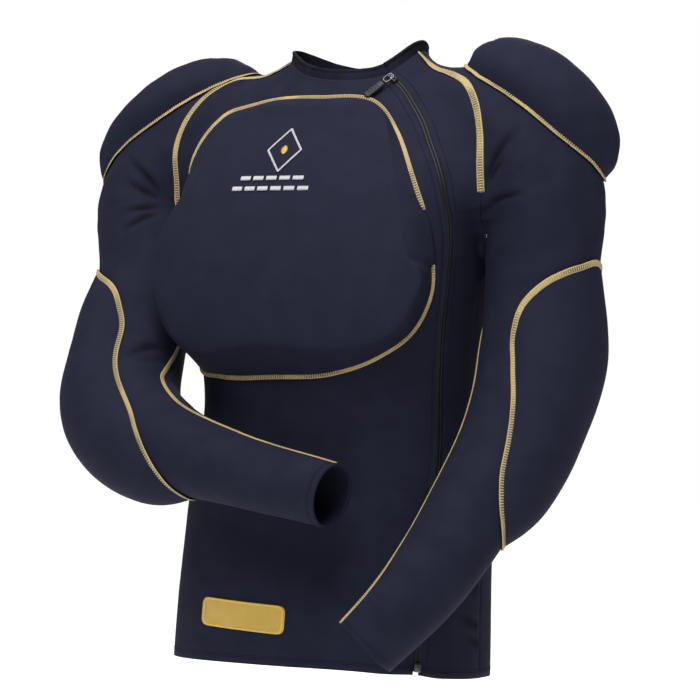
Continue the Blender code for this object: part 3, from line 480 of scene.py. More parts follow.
def picksFrom(count, wanted):
    return np.linspace(0, count - 1, wanted).round().astype(int)


def addWall(name, outer, inner, material, roundTrip=False):
    rows, columns = outer.shape[:2]
    points = np.concatenate([outer.reshape(-1, 3), inner.reshape(-1, 3)])
    return addMesh(name, points, wallFaces(rows, columns, roundTrip), material)


def addPad(name, top, topMiddle, under, underMiddle, material):
    rings, spokes = top.shape[:2]
    below = rings * spokes
    middle = below + len(under) * spokes
    spoke = np.arange(spokes)
    beside = (spoke + 1) % spokes
    faces = []
    for first, count, centre in ((0, rings, middle), (below, len(under), middle + 1)):
        for ring in range(count - 1):
            a, b = first + ring * spokes, first + (ring + 1) * spokes
            faces += np.stack([a + spoke, a + beside, b + beside, b + spoke], 1).tolist()
        innermost = first + (count - 1) * spokes
        faces += np.stack([innermost + spoke, innermost + beside, np.full(spokes, centre)], 1).tolist()
    faces += np.stack([spoke, beside, below + beside, below + spoke], 1).tolist()
    points = np.concatenate([top.reshape(-1, 3), under.reshape(-1, 3), [topMiddle], [underMiddle]])
    return addMesh(name, points, faces, material)


class Shader:
    def __init__(self, name):
        self.material = bpy.data.materials.new(name)
        self.material.use_nodes = True
        self.tree = self.material.node_tree
        self.surface = self.tree.nodes["Principled BSDF"]

    def add(self, kind, inputs=(), **settings):
        node = self.tree.nodes.new(kind)
        for name, value in settings.items():
            setattr(node, name, value)
        for name, value in dict(inputs).items():
            self.feed(node.inputs[name], value)
        return node

    def feed(self, socket, value):
        if isinstance(value, Value):
            self.tree.links.new(value.socket, socket)
        elif socket.type == "RGBA" and len(value) == 3:
            socket.default_value = (*value, 1)
        else:
            socket.default_value = value

    def value(self, node, output=0):
        return Value(self, node.outputs[output])

    def objectPlace(self):
        return self.value(self.add("ShaderNodeTexCoord"), "Object")

    def attribute(self, name):
        return self.value(self.add("ShaderNodeAttribute", attribute_name=name), "Fac")

    def noise(self, place, scale, detail=2.0, roughness=0.5):
        inputs = {"Vector": place, "Scale": scale, "Detail": detail, "Roughness": roughness}
        node = self.add("ShaderNodeTexNoise", inputs)
        return self.value(node, 0)

    def split(self, place):
        node = self.add("ShaderNodeSeparateXYZ", {"Vector": place})
        return [self.value(node, axis) for axis in range(3)]

    def mix(self, share, first, second):
        node = self.add("ShaderNodeMix", data_type="RGBA")
        self.feed(node.inputs["Factor"], share)
        self.feed(node.inputs[6], first)
        self.feed(node.inputs[7], second)
        return self.value(node, 2)

    def bump(self, height, distance, strength=1.0):
        node = self.add("ShaderNodeBump", {"Height": height, "Distance": distance, "Strength": strength})
        return self.value(node)

    def set(self, inputs):
        for name, value in inputs.items():
            self.feed(self.surface.inputs[name], value)
        return self.material


class Value:
    def __init__(self, shader, socket):
        self.shader, self.socket = shader, socket

    def math(self, operation, *others, clamp=False):
        node = self.shader.add("ShaderNodeMath", operation=operation, use_clamp=clamp)
        for slot, value in zip(node.inputs, (self, *others)):
            self.shader.feed(slot, value)
        return self.shader.value(node)

    def __add__(self, other):
        return self.math("ADD", other)

    def __sub__(self, other):
        return self.math("SUBTRACT", other)

    def __mul__(self, other):
        return self.math("MULTIPLY", other)

    def __truediv__(self, other):
        return self.math("DIVIDE", other)

    __radd__, __rmul__ = __add__, __mul__

    def __rsub__(self, other):
        return (self * -1) + other

    def sine(self):
        return self.math("SINE")

    def absolute(self):
        return self.math("ABSOLUTE")

    def clamped(self):
        return self.math("ADD", 0.0, clamp=True)

    def between(self, low, high):
        return ((self - low) / (high - low)).clamped()


knit = {
    "colour": (0.0086, 0.0091, 0.0190),
    "lighter": (0.0130, 0.0140, 0.0270),
    # the fold colour below is painted shade, laid along narrow folds
    "fold": (0.0016, 0.0016, 0.0028),
    "rib": 0.0011,
    "course": 0.0013,
    "sheen": 0.009,
}
gold = {
    "thread": (0.50, 0.38, 0.155),
    "shade": (0.26, 0.185, 0.070),
    # the between colour is painted shade between the threads, also laid along the band's edges
    "between": (0.085, 0.066, 0.038),
    "pitch": 0.0028,
}


def knitMaterial(name, tint, sheen, roughness=0.82):
    shader = Shader(name)
    place = shader.objectPlace()
    x, y, z = shader.split(place)
    columns = ((x + y * 0.6) * (2 * math.pi / knit["rib"])).sine()
    courses = (z * (2 * math.pi / knit["course"]) + columns * 0.9).sine()
    weave = columns * 0.5 + courses * 0.5
    mottle = shader.noise(place, 38.0, 4.0)
    fine = shader.noise(place, 900.0, 2.0)
    colour = shader.mix(mottle.between(0.35, 0.70) * 0.55 + fine * 0.25, tint, knit["lighter"])
    # painted shade: narrow folds take a darker colour along their valley
    fold = shader.attribute("fold")
    colour = shader.mix(fold.clamped(), colour, knit["fold"])
    rough = fine * 0.12 + (roughness - 0.06)
    relief = weave * 0.35 + fine * 0.65 + mottle * 0.8
    return shader.set(
        {
            "Base Color": colour,
            "Roughness": rough,
            "Sheen Weight": sheen,
            "Sheen Roughness": 0.45,
            "Sheen Tint": (0.55, 0.60, 0.95),
            "Specular IOR Level": 0.06,
            "Normal": shader.bump(relief, 0.00022, 0.7),
        }
    )


def threadMaterial(name, thread, shade, between=None, sheen=0.05):
    shader = Shader(name)
    place = shader.objectPlace()
    along, across = shader.attribute("along"), shader.attribute("across")
    twill = (along * (2 * math.pi / 0.0007) + across * 2.6).sine()
    # painted shade: noise patches and the twill's grooves take the shade colour
    shadeNoise = shader.noise(place, 60.0, 3.0)
    colour = shader.mix((twill * 0.22 + shadeNoise * 0.9 - 0.1).clamped(), shade, thread)
    if between:
        # painted shade between the threads, over patches and along both edges of the band
        edge = across.absolute().between(0.60, 0.72)
        dense = shader.noise(place, 17.0, 1.0).between(0.44, 0.56)
        colour = shader.mix((edge + dense * 0.85).clamped(), between, colour)
    return shader.set(
        {
            "Base Color": colour,
            "Roughness": shadeNoise * 0.2 + 0.5,
            "Sheen Weight": sheen,
            "Normal": shader.bump(twill, 0.0002, 0.5),
        }
    )


def plainMaterial(name, colour, roughness, metallic=0.0, bump=0.00005, scale=600.0, coat=0.0, specular=0.3):
    shader = Shader(name)
    grain = shader.noise(shader.objectPlace(), scale, 3.0)
    darker = tuple(0.72 * part for part in colour)
    return shader.set(
        {
            "Base Color": shader.mix(grain.between(0.3, 0.7), darker, colour),
            "Roughness": grain * 0.18 + (roughness - 0.09),
            "Metallic": metallic,
            "Coat Weight": coat,
            "Specular IOR Level": specular,
            "Normal": shader.bump(grain, bump, 0.6),
        }
    )


materials = {
    "knit": knitMaterial("knit", knit["colour"], knit["sheen"]),
    "padKnit": knitMaterial("padKnit", (0.0098, 0.0104, 0.0212), knit["sheen"]),
    "collarRib": knitMaterial("collarRib", (0.0046, 0.0047, 0.0080), 0.004),
    "band": threadMaterial("goldBand", gold["thread"], gold["shade"], gold["between"]),
    "rung": plainMaterial("goldThread", (0.52, 0.40, 0.175), 0.55, bump=0.0001, scale=1500.0),
    "darkThread": plainMaterial(
        "darkThread", (0.0036, 0.0038, 0.0062), 0.6, bump=0.0001, scale=1500.0, specular=0.08
    ),
    "tape": plainMaterial("tape", (0.0060, 0.0064, 0.0100), 0.75, bump=0.0002, scale=1400.0, specular=0.1),
    "coil": plainMaterial("coil", (0.0085, 0.0088, 0.0125), 0.45, bump=0.00005, scale=900.0, specular=0.12),
    "nickel": plainMaterial("nickel", (0.085, 0.085, 0.090), 0.38, metallic=1.0, bump=0.00002, scale=400.0),
    "tab": plainMaterial("tab", (0.0065, 0.0068, 0.0100), 0.42, bump=0.00004, scale=500.0, specular=0.15),
    "yellow": threadMaterial("yellowPatch", (0.50, 0.33, 0.055), (0.36, 0.225, 0.032)),
    "yellowThread": plainMaterial("yellowThread", (0.70, 0.47, 0.08), 0.5, bump=0.0001, scale=1500.0),
    "whiteThread": plainMaterial("whiteThread", (0.46, 0.46, 0.48), 0.5, bump=0.0001, scale=1500.0),
}
print("materials made")


def setFloats(solid, **attributes):
    for name, values in attributes.items():
        layer = solid.data.attributes.new(name, "FLOAT", "POINT")
        layer.data.foreach_set("value", np.asarray(values, np.float32).ravel())


def rowGroup():
    group = bpy.data.node_groups.new("stitchRow", "GeometryNodeTree")
    face = group.interface
    face.new_socket("Geometry", in_out="INPUT", socket_type="NodeSocketGeometry")
    kinds = {"Shape": "Object", "Finish": "Material", "Length": "Float", "Width": "Float", "Height": "Float"}
    sockets = {}
    for label, kind in kinds.items():
        socket = face.new_socket(label, in_out="INPUT", socket_type="NodeSocket" + kind)
        sockets[label] = socket.identifier
    face.new_socket("Geometry", in_out="OUTPUT", socket_type="NodeSocketGeometry")
    nodes, links = group.nodes, group.links
    start, end = nodes.new("NodeGroupInput"), nodes.new("NodeGroupOutput")
    info = nodes.new("GeometryNodeObjectInfo")
    turn = nodes.new("FunctionNodeAxesToRotation")
    turn.primary_axis, turn.secondary_axis = "Z", "X"
    place = nodes.new("GeometryNodeInstanceOnPoints")
    realize, paint = nodes.new("GeometryNodeRealizeInstances"), nodes.new("GeometryNodeSetMaterial")

    scale, shorter = nodes.new("ShaderNodeCombineXYZ"), nodes.new("ShaderNodeMath")
    shorter.operation = "MULTIPLY"

    def named(name, kind="FLOAT_VECTOR"):
        read = nodes.new("GeometryNodeInputNamedAttribute")
        read.data_type = kind
        read.inputs["Name"].default_value = name
        return read.outputs["Attribute"]

    links.new(start.outputs["Geometry"], place.inputs["Points"])
    links.new(start.outputs["Shape"], info.inputs["Object"])
    links.new(info.outputs["Geometry"], place.inputs["Instance"])
    links.new(named("out"), turn.inputs["Primary Axis"])
    links.new(named("run"), turn.inputs["Secondary Axis"])
    links.new(turn.outputs["Rotation"], place.inputs["Rotation"])
    links.new(start.outputs["Length"], shorter.inputs[0])
    links.new(named("narrow", "FLOAT"), shorter.inputs[1])
    links.new(shorter.outputs["Value"], scale.inputs["X"])
    links.new(start.outputs["Width"], scale.inputs["Y"])
    links.new(start.outputs["Height"], scale.inputs["Z"])
    links.new(scale.outputs["Vector"], place.inputs["Scale"])
    links.new(place.outputs["Instances"], realize.inputs["Geometry"])
    links.new(realize.outputs["Geometry"], paint.inputs["Geometry"])
    links.new(start.outputs["Finish"], paint.inputs["Material"])
    links.new(paint.outputs["Geometry"], end.inputs["Geometry"])
    return group, sockets


stitchRow, rowSockets = rowGroup()


def stitchShape(name, sides=6, rings=4):
    places = np.linspace(-0.5, 0.5, rings)
    radius = np.sqrt(np.maximum(0.25 - places**2 * 0.85, 0)) / 0.5
    turn = np.arange(sides) * 2 * math.pi / sides
    ring = np.stack([np.zeros(sides), np.cos(turn) / 2, np.sin(turn) / 2], 1)
    points = [ring * width + (at, 0, 0) for at, width in zip(places, radius)]
    faces = tubeFaces(rings, sides)
    shape = addMesh(name, np.concatenate(points), faces, materials["rung"])
    bpy.context.scene.collection.objects.unlink(shape)
    return shape


def boxShape(name, bevel):
    mesh = bpy.data.meshes.new(name)
    work = bmesh.new()
    bmesh.ops.create_cube(work, size=1)
    bmesh.ops.bevel(work, geom=work.edges[:], offset=bevel, segments=1, affect="EDGES")
    work.to_mesh(mesh)
    work.free()
    mesh.materials.append(materials["coil"])
    return bpy.data.objects.new(name, mesh)


shapes = {"stitch": stitchShape("stitchShape"), "tooth": boxShape("toothShape", 0.22)}


def addRow(name, points, run, out, size, shape, material, narrow=1.0):
    seeds = bpy.data.meshes.new(name + "Seeds")
    seeds.from_pydata(np.asarray(points).tolist(), [], [])
    count = len(points)
    for label, values in (("run", run), ("out", out)):
        layer = seeds.attributes.new(label, "FLOAT_VECTOR", "POINT")
        layer.data.foreach_set("vector", np.asarray(values, np.float32).ravel())
    layer = seeds.attributes.new("narrow", "FLOAT", "POINT")
    layer.data.foreach_set("value", np.broadcast_to(narrow, count).astype(np.float32))
    row = bpy.data.objects.new(name, seeds)
    bpy.context.scene.collection.objects.link(row)
    step = row.modifiers.new("Stitches", "NODES")
    step.node_group = stitchRow
    step[rowSockets["Shape"]], step[rowSockets["Finish"]] = shapes[shape], material
    for label, value in zip(("Length", "Width", "Height"), size):
        step[rowSockets[label]] = float(value)
    bpy.context.view_layer.update()
    mesh = bpy.data.meshes.new_from_object(row.evaluated_get(bpy.context.evaluated_depsgraph_get()))
    row.modifiers.clear()
    row.data = mesh
    mesh.name = name
    mesh.shade_smooth()
    return row


def ridden(solid, nodes=(), body="shirt"):
    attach(solid, body)
    if nodes:
        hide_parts(*nodes)
    return solid


def finerAlong(values, times, corners=()):
    marks = [0, *corners, len(values) - 1]
    pieces = []
    for first, last in zip(marks[:-1], marks[1:]):
        part = values[first : last + 1]
        span = last - first
        fine = curveThrough(np.arange(len(part)), part, np.linspace(0, span, span * times + 1))
        pieces.append(fine if last == marks[-1] else fine[:-1])
    return np.concatenate(pieces)


def finerGrid(grid, times, rowCorners=(), columnCorners=()):
    tall = finerAlong(grid, times, rowCorners)
    return finerAlong(tall.transpose(1, 0, 2), times, columnCorners).transpose(1, 0, 2)


# Short sharp folds, as lines over the cloth, with the width and depth of each; the narrow ones also get painted
# shade along their valley.
folds = {
    "armpitLeftUpper": (
        [(.192, -.063, -.122), (.195, -.064, -.110), (.203, -.065, -.092),
         (.214, -.065, -.075), (.227, -.059, -.060)],
        0.0042, 0.0030,
    ),
    "armpitLeftMiddle": (
        [(.195, -.064, -.116), (.206, -.065, -.101), (.213, -.065, -.094)],
        0.0036, 0.0016,
    ),
    "armpitLeftLower": (
        [(.189, -.055, -.146), (.202, -.060, -.137), (.221, -.064, -.131), (.237, -.064, -.128)],
        0.0040, 0.0026,
    ),
    "armpitRightUpper": (
        [(-.262, -.070, -.086), (-.233, -.074, -.109), (-.213, -.070, -.132)],
        0.0045, 0.0026,
    ),
    "armpitRightUpperMiddle": (
        [(-.262, -.076, -.111), (-.238, -.077, -.124), (-.215, -.070, -.134)],
        0.0040, 0.0024,
    ),
    "armpitRightMiddle": (
        [(-.256, -.085, -.148), (-.236, -.082, -.145), (-.217, -.073, -.143)],
        0.0042, 0.0026,
    ),
    "armpitRightLower": (
        [(-.250, -.091, -.170), (-.239, -.087, -.162), (-.219, -.077, -.151)],
        0.0045, 0.0030,
    ),
    "elbowRightInner": (
        [(-.198, -.148, -.312), (-.186, -.128, -.305), (-.178, -.108, -.308)],
        0.0060, 0.0040,
    ),
    "elbowRightUnder": (
        [(-.196, -.152, -.330), (-.184, -.136, -.322), (-.176, -.116, -.322)],
        0.0060, 0.0028,
    ),
    "hemUpper": ([(.183, -.021, -.548), (.181, -.047, -.554)], 0.0050, 0.0018),
    "hemMiddle": ([(.184, -.006, -.598), (.180, -.058, -.580)], 0.0060, 0.0022),
    "hemLower": ([(.185, -.002, -.617), (.184, -.048, -.603)], 0.0060, 0.0024),
    "bellyUpper": ([(-.125, -.094, -.361), (-.042, -.122, -.367), (.034, -.123, -.359)], 0.0160, 0.0013),
    "bellyLower": ([(-.127, -.103, -.484), (-.031, -.130, -.504), (.068, -.128, -.523)], 0.0260, 0.0016),
    "bellySide": ([(.069, -.122, -.332), (.109, -.103, -.373), (.144, -.076, -.393)], 0.0120, 0.0018),
    "neckTwist": ([(-.096, -.016, .018), (-.078, -.028, .022), (-.060, -.041, .024)], 0.0050, 0.0024),
}
unevenness = {"long": (16.0, 0.00055), "short": (52.0, 0.00016)}


def foldDepth(points):
    depth, creaseShade = np.zeros(len(points)), np.zeros(len(points))
    for spots, width, deep in folds.values():
        spots = np.array(spots)
        stations = lengthsAlong(spots)
        line = curveThrough(stations, spots, np.linspace(0, stations[-1], 30))
        near = np.where(np.abs(points - line.mean(0)).max(1) < stations[-1] / 2 + 5 * width + 0.02)[0]
        if not len(near):
            continue
        away = np.linalg.norm(points[near, None] - line, axis=2)
        share = away.argmin(1) / (len(line) - 1)
        away = away.min(1) / width
        taper = np.sin(math.pi * np.clip(share, 0.03, 0.97)) ** 0.6
        valley = np.exp(-(away**2)) - 0.32 * np.exp(-((away / 2.3) ** 2))
        depth[near] += deep * taper * valley
        # narrow folds also get a mask of painted shade along their valley
        if width < 0.010:
            creaseShade[near] = np.maximum(creaseShade[near], 0.9 * taper * np.exp(-((away * 1.25) ** 2)))
    return depth, creaseShade


def relief(grid, out, keep, seed=0.0):
    flat = grid.reshape(-1, 3)
    depth, creaseShade = foldDepth(flat)
    soft = np.zeros(len(flat))
    for scale, height in unevenness.values():
        soft += height * np.array([noise.noise(Vector(p) * scale + Vector((seed, 3.1, 7.7))) for p in flat])
    over = (soft - depth).reshape(grid.shape[:2]) * keep
    return grid + over[..., None] * out, creaseShade.reshape(grid.shape[:2]) * keep


def edgeFade(rows, columns, pitch, top=True, bottom=True, sides=True, width=0.009):
    keep = np.ones((rows, columns))
    down = np.arange(rows)[:, None] * pitch
    over = np.arange(columns)[None] * pitch
    if top:
        keep = keep * smoothStep(0, width, down)
    if bottom:
        keep = keep * smoothStep(0, width, down[-1] - down)
    if sides:
        keep = keep * smoothStep(0, width, over) * smoothStep(0, width, over[:, -1:] - over)
    return keep


# Seams that neighbouring pieces share.
pits = {side: armpit(side) for side in (-1, 1)}
raglanFront, raglanBack, sideSeams, sleeveNeck = {}, {}, {}, {}
for side in (-1, 1):
    ends = neckPoint(np.array([side * raglan["frontAngle"], side * raglan["backAngle"]]))
    backSpots = [(side * x, y, z) for x, y, z in raglan["back"]]
    raglanFront[side] = evenLine([ends[0], *raglan["front"][side], pits[side]], cuts["raglan"])
    raglanBack[side] = evenLine([ends[1], *backSpots, pits[side]], cuts["raglan"])
    sideSeams[side] = sideSeam(side, pits[side])
    sleeveNeck[side] = neckArc(side * raglan["frontAngle"], side * raglan["backAngle"], cuts["sleeveNeck"])

zipCentre = zipLine()
frontNeck = neckArc(-raglan["frontAngle"], zipShape["angle"], cuts["front"])
stripNeck = neckArc(zipShape["angle"], raglan["frontAngle"], cuts["strip"])
halfBack = neckArc(raglan["backAngle"], 180, cuts["back"] // 2)
backNeck = np.concatenate([halfBack, neckArc(-180, -raglan["backAngle"], cuts["back"] // 2)[1:]])

leftEdge = np.concatenate([raglanFront[-1], sideSeams[-1][1:]])
rightEdge = np.concatenate([raglanFront[1], sideSeams[1][1:]])
backLeft = np.concatenate([raglanBack[1], sideSeams[1][1:]])
backRight = np.concatenate([raglanBack[-1], sideSeams[-1][1:]])
grids = {
    name: panelGrid(left, right, top, hemLine(left[-1], right[-1], cuts[name], facing), facing)
    for name, left, right, top, facing in (
        ("front", leftEdge, zipCentre, frontNeck, -1),
        ("strip", zipCentre, rightEdge, stripNeck, -1),
        ("back", backLeft, backRight, backNeck, 1),
    )
}
print("seams and panels laid out")


def addCloth(name, node, grid, times, edges, seed):
    fine = finerGrid(grid, times, rowCorners=(cuts["raglan"],))
    fine[1:-1, 1:-1] = onFigure(fine[1:-1, 1:-1], 2)
    out = outward(fine)
    rows, columns = fine.shape[:2]
    keep = edgeFade(rows, columns, 0.0034)
    outer, creaseShade = relief(fine, out, keep, seed)
    inner = outer - cloth["thick"] * out
    solid = addWall(name, drawnIn(outer, edges), drawnIn(inner, edges), materials["knit"])
    setFloats(solid, fold=np.tile(creaseShade.ravel(), 2))
    ridden(solid, [node])
    return outer, out


edge, zipEdge = cloth["gap"], zipShape["opening"] / 2
frontSurface, frontOut = addCloth(
    "frontRightCloth", "front_right", grids["front"], finer["front"], {"left": edge, "right": zipEdge}, 1.0
)
stripSurface, stripOut = addCloth(
    "frontLeftCloth", "front_left", grids["strip"], finer["strip"], {"left": zipEdge, "right": edge}, 5.0
)
backSurface, backOut = addCloth(
    "backCloth", "back_panel", grids["back"], finer["back"], {"left": edge, "right": edge}, 9.0
)
print("body cloth made")


def addSleeve(side, name, node):
    arm = arms[side]
    loop = np.concatenate([raglanFront[side][:0:-1], sleeveNeck[side][:-1], raglanBack[side][:-1]])
    cap = sleeveCap(arm, loop)
    times = finer["sleeve"]
    around = np.concatenate([cap, cap[:, :1]], 1)
    corners = (cuts["raglan"], cuts["raglan"] + cuts["sleeveNeck"])
    fine = finerGrid(around, times, columnCorners=corners)[:, :-1]
    fine[1:-1] = onFigure(fine[1:-1], 2)
    columns = fine.shape[1]
    degrees = np.arange(columns) * 360 / columns
    starts = armShape["tubeStarts"] * arm.length
    tubeRows = int((arm.length - starts) / 0.0038)
    along = np.linspace(starts, arm.length, tubeRows + 1)[1:]
    tube, tubeOut = arm.points(along[:, None], degrees)
    grid = np.concatenate([fine, tube])
    joint = len(fine) - 1
    for _ in range(6):
        zone = slice(joint - 6, joint + 7)
        grid[zone] = (grid[joint - 7 : joint + 6] + 2 * grid[zone] + grid[joint - 5 : joint + 8]) / 4
    out = np.concatenate([outward(fine), tubeOut])
    rows = len(grid)
    keep = np.broadcast_to(edgeFade(rows, columns, 0.0036, sides=False), (rows, columns))
    outer, creaseShade = relief(grid, out, keep, 20.0 * side)
    edges = {"top": cloth["gap"]}
    inner = outer - cloth["thick"] * out
    solid = addWall(name, drawnIn(outer, edges), drawnIn(inner, edges), materials["knit"], roundTrip=True)
    setFloats(solid, fold=np.tile(creaseShade.ravel(), 2))
    return ridden(solid, [node]), outer, out


sleevePieces = {
    side: addSleeve(side, f"sleeve{label}Cloth", f"sleeve_{label.lower()}") for side, label in hands
}
print("sleeves made")

pad = {
    "spokes": 190,
    "rings": 34,
    "underRings": 8,
    "rim": 0.0009,
    "laid": 0.0008,
    "shoulderSteepness": 5,
    "elbowSteepness": 4,
    "fill": 0.85,
}
shoulderPads = {
    -1: {
        "seam": [
            (-0.14, -0.01, 0.012), (-0.168, -0.038, 0.0), (-0.205, -0.054, -0.022),
            (-0.245, -0.064, -0.044), (-0.28, -0.064, -0.062), (-0.307, -0.054, -0.084),
            (-0.323, -0.036, -0.108), (-0.327, -0.006, -0.12), (-0.316, 0.026, -0.115),
            (-0.288, 0.05, -0.094), (-0.246, 0.064, -0.06), (-0.206, 0.064, -0.032),
            (-0.17, 0.052, -0.01), (-0.144, 0.026, 0.006),
        ],
        "middle": (-0.252, -0.006, -0.024),
        "height": 0.028,
    },
    1: {
        "seam": [
            (0.14, -0.01, 0.012), (0.166, -0.037, -0.001), (0.202, -0.05, -0.018),
            (0.236, -0.05, -0.04), (0.264, -0.038, -0.066), (0.286, -0.012, -0.09),
            (0.294, 0.02, -0.106), (0.284, 0.046, -0.102), (0.262, 0.062, -0.08),
            (0.232, 0.067, -0.052), (0.198, 0.062, -0.026), (0.168, 0.05, -0.008),
            (0.144, 0.026, 0.006),
        ],
        "middle": (0.23, 0.004, -0.016),
        "height": 0.034,
    },
}
elbowPads = {
    -1: {"rows": [
        (0.352, 163, 167, 0.01), (0.379, 122, 210, 0.011), (0.398, 99, 232, 0.012),
        (0.43, 84, 250, 0.013), (0.475, 69, 262, 0.015), (0.534, 56, 268, 0.019),
        (0.6, 63, 262, 0.023), (0.637, 97, 236, 0.022), (0.658, 132, 200, 0.02),
        (0.67, 163, 167, 0.018),
    ], "laid": 0.0034},
    1: {"rows": [
        (0.3, 163, 167, 0.009), (0.311, 135, 195, 0.009), (0.33, 96, 232, 0.01),
        (0.36, 66, 258, 0.014), (0.395, 55, 268, 0.018), (0.44, 60, 268, 0.019),
        (0.48, 72, 260, 0.018), (0.524, 85, 250, 0.019), (0.573, 104, 228, 0.02),
        (0.606, 136, 196, 0.018), (0.616, 163, 167, 0.016),
    ], "laid": 0.0018},
}
chestPad = {
    "seam": [
        (0.0, -0.026), (0.06, -0.031), (0.099, -0.066), (0.129, -0.113), (0.146, -0.154),
        (0.152, -0.2), (0.149, -0.24), (0.132, -0.28), (0.095, -0.309), (0.05, -0.325),
        (-0.02, -0.331), (-0.095, -0.333), (-0.145, -0.324), (-0.162, -0.285), (-0.168, -0.22),
        (-0.172, -0.15), (-0.168, -0.095), (-0.14, -0.054), (-0.085, -0.031),
    ],
    "face": [
        (0.006, -0.037), (0.06, -0.038), (0.087, -0.048), (0.102, -0.075), (0.115, -0.108),
        (0.13, -0.15), (0.141, -0.185), (0.153, -0.214), (0.156, -0.241), (0.147, -0.264),
        (0.119, -0.288), (0.078, -0.299), (0.023, -0.3), (-0.03, -0.297), (-0.085, -0.307),
        (-0.118, -0.311), (-0.15, -0.294), (-0.172, -0.262), (-0.181, -0.218), (-0.174, -0.182),
        (-0.147, -0.138), (-0.106, -0.081), (-0.072, -0.04),
    ],
    "middle": (-0.008, -0.185),
    "depth": [
        (-0.34, -0.15), (-0.29, -0.162), (-0.24, -0.168), (-0.18, -0.164), (-0.12, -0.148),
        (-0.08, -0.128), (-0.04, -0.103),
    ],
    "curve": 0.9,
    "lip": 0.0030,
    "step": 0.0055,
}


def ringShares(count):
    return np.linspace(0, 1, count + 1)[:-1] ** 1.7


def rising(share, steepness):
    return 1 - (1 - share) ** steepness


def padTexture(points, out, seed):
    flat = points.reshape(-1, 3)
    over = np.array([0.0007 * noise.noise(Vector(p) * 22 + Vector((seed, 0, 0))) for p in flat])
    return points + over.reshape(points.shape[:-1])[..., None] * out


def addShoulderPad(side, name, node):
    shape = shoulderPads[side]
    seam = closedLine(shape["seam"], pad["spokes"])
    middle = onFigure(np.array([shape["middle"]]))
    middleOut = outward(middle)[0]
    full = shape["height"] - pad["rim"]

    def rings(shares, over):
        found = []
        for share in shares:
            points = onFigure(seam + (middle - seam) * share, 6)
            found.append(points + over(share) * outward(points))
        return np.array(found)

    def crown(share):
        return pad["laid"] + pad["rim"] + full * rising(share, pad["shoulderSteepness"])

    def base(share):
        return pad["laid"] + 0.0030 * rising(share, 4)

    top = rings(ringShares(pad["rings"]), crown)
    for ring in range(1, len(top)):
        share = smoothStep(0, 8, ring)
        top[ring] = padTexture(top[ring], share * outward(top[ring]), 4.0 * side)
    under = rings(ringShares(pad["underRings"]), base)
    topMiddle, underMiddle = middle[0] + crown(1) * middleOut, middle[0] + base(1) * middleOut
    solid = addPad(name, top, topMiddle, under, underMiddle, materials["padKnit"])
    ridden(solid, [node])
    return seam


def addElbowPad(side, name, node):
    rows, laid = elbowPads[side]["rows"], pad["laid"]
    arm = arms[side]
    front = [(row[0], row[1]) for row in rows]
    back = [(row[0], row[2]) for row in reversed(rows[1:-1])]
    scale = np.array([1.0, math.radians(1) * 0.055])
    seam = closedLine(np.array(front + back) * scale, pad["spokes"]) / scale
    middle = np.array([(rows[0][0] + rows[-1][0]) / 2, (rows[4][1] + rows[4][2]) / 2])
    stations, heights = [row[0] for row in rows], [row[3] + elbowPads[side]["laid"] - laid for row in rows]

    def ring(share, under):
        along, degrees = (seam + (middle - seam) * share).T
        full = curveThrough(stations, heights, along)
        over = laid + pad["rim"] + (full - pad["rim"]) * rising(share, pad["elbowSteepness"])
        low = np.full(len(along), laid + 0.0030 * rising(share, 4))
        return arm.points(along, degrees, low if under else over)

    top = []
    for share in ringShares(pad["rings"]):
        points, out = ring(share, False)
        top.append(padTexture(points, smoothStep(0, 0.2, share) * out, 11.0 * side))
    under = [ring(share, True)[0] for share in ringShares(pad["underRings"])]
    topMiddle, underMiddle = (ring(1, low)[0][0] for low in (False, True))
    solid = addPad(name, np.array(top), topMiddle, np.array(under), underMiddle, materials["padKnit"])
    ridden(solid, [node])
    return seam


def chestFace(x, z):
    rows = np.array(chestPad["depth"])
    return np.stack([x, curveThrough(rows[:, 0], rows[:, 1], z) + chestPad["curve"] * x * x, z], 1)


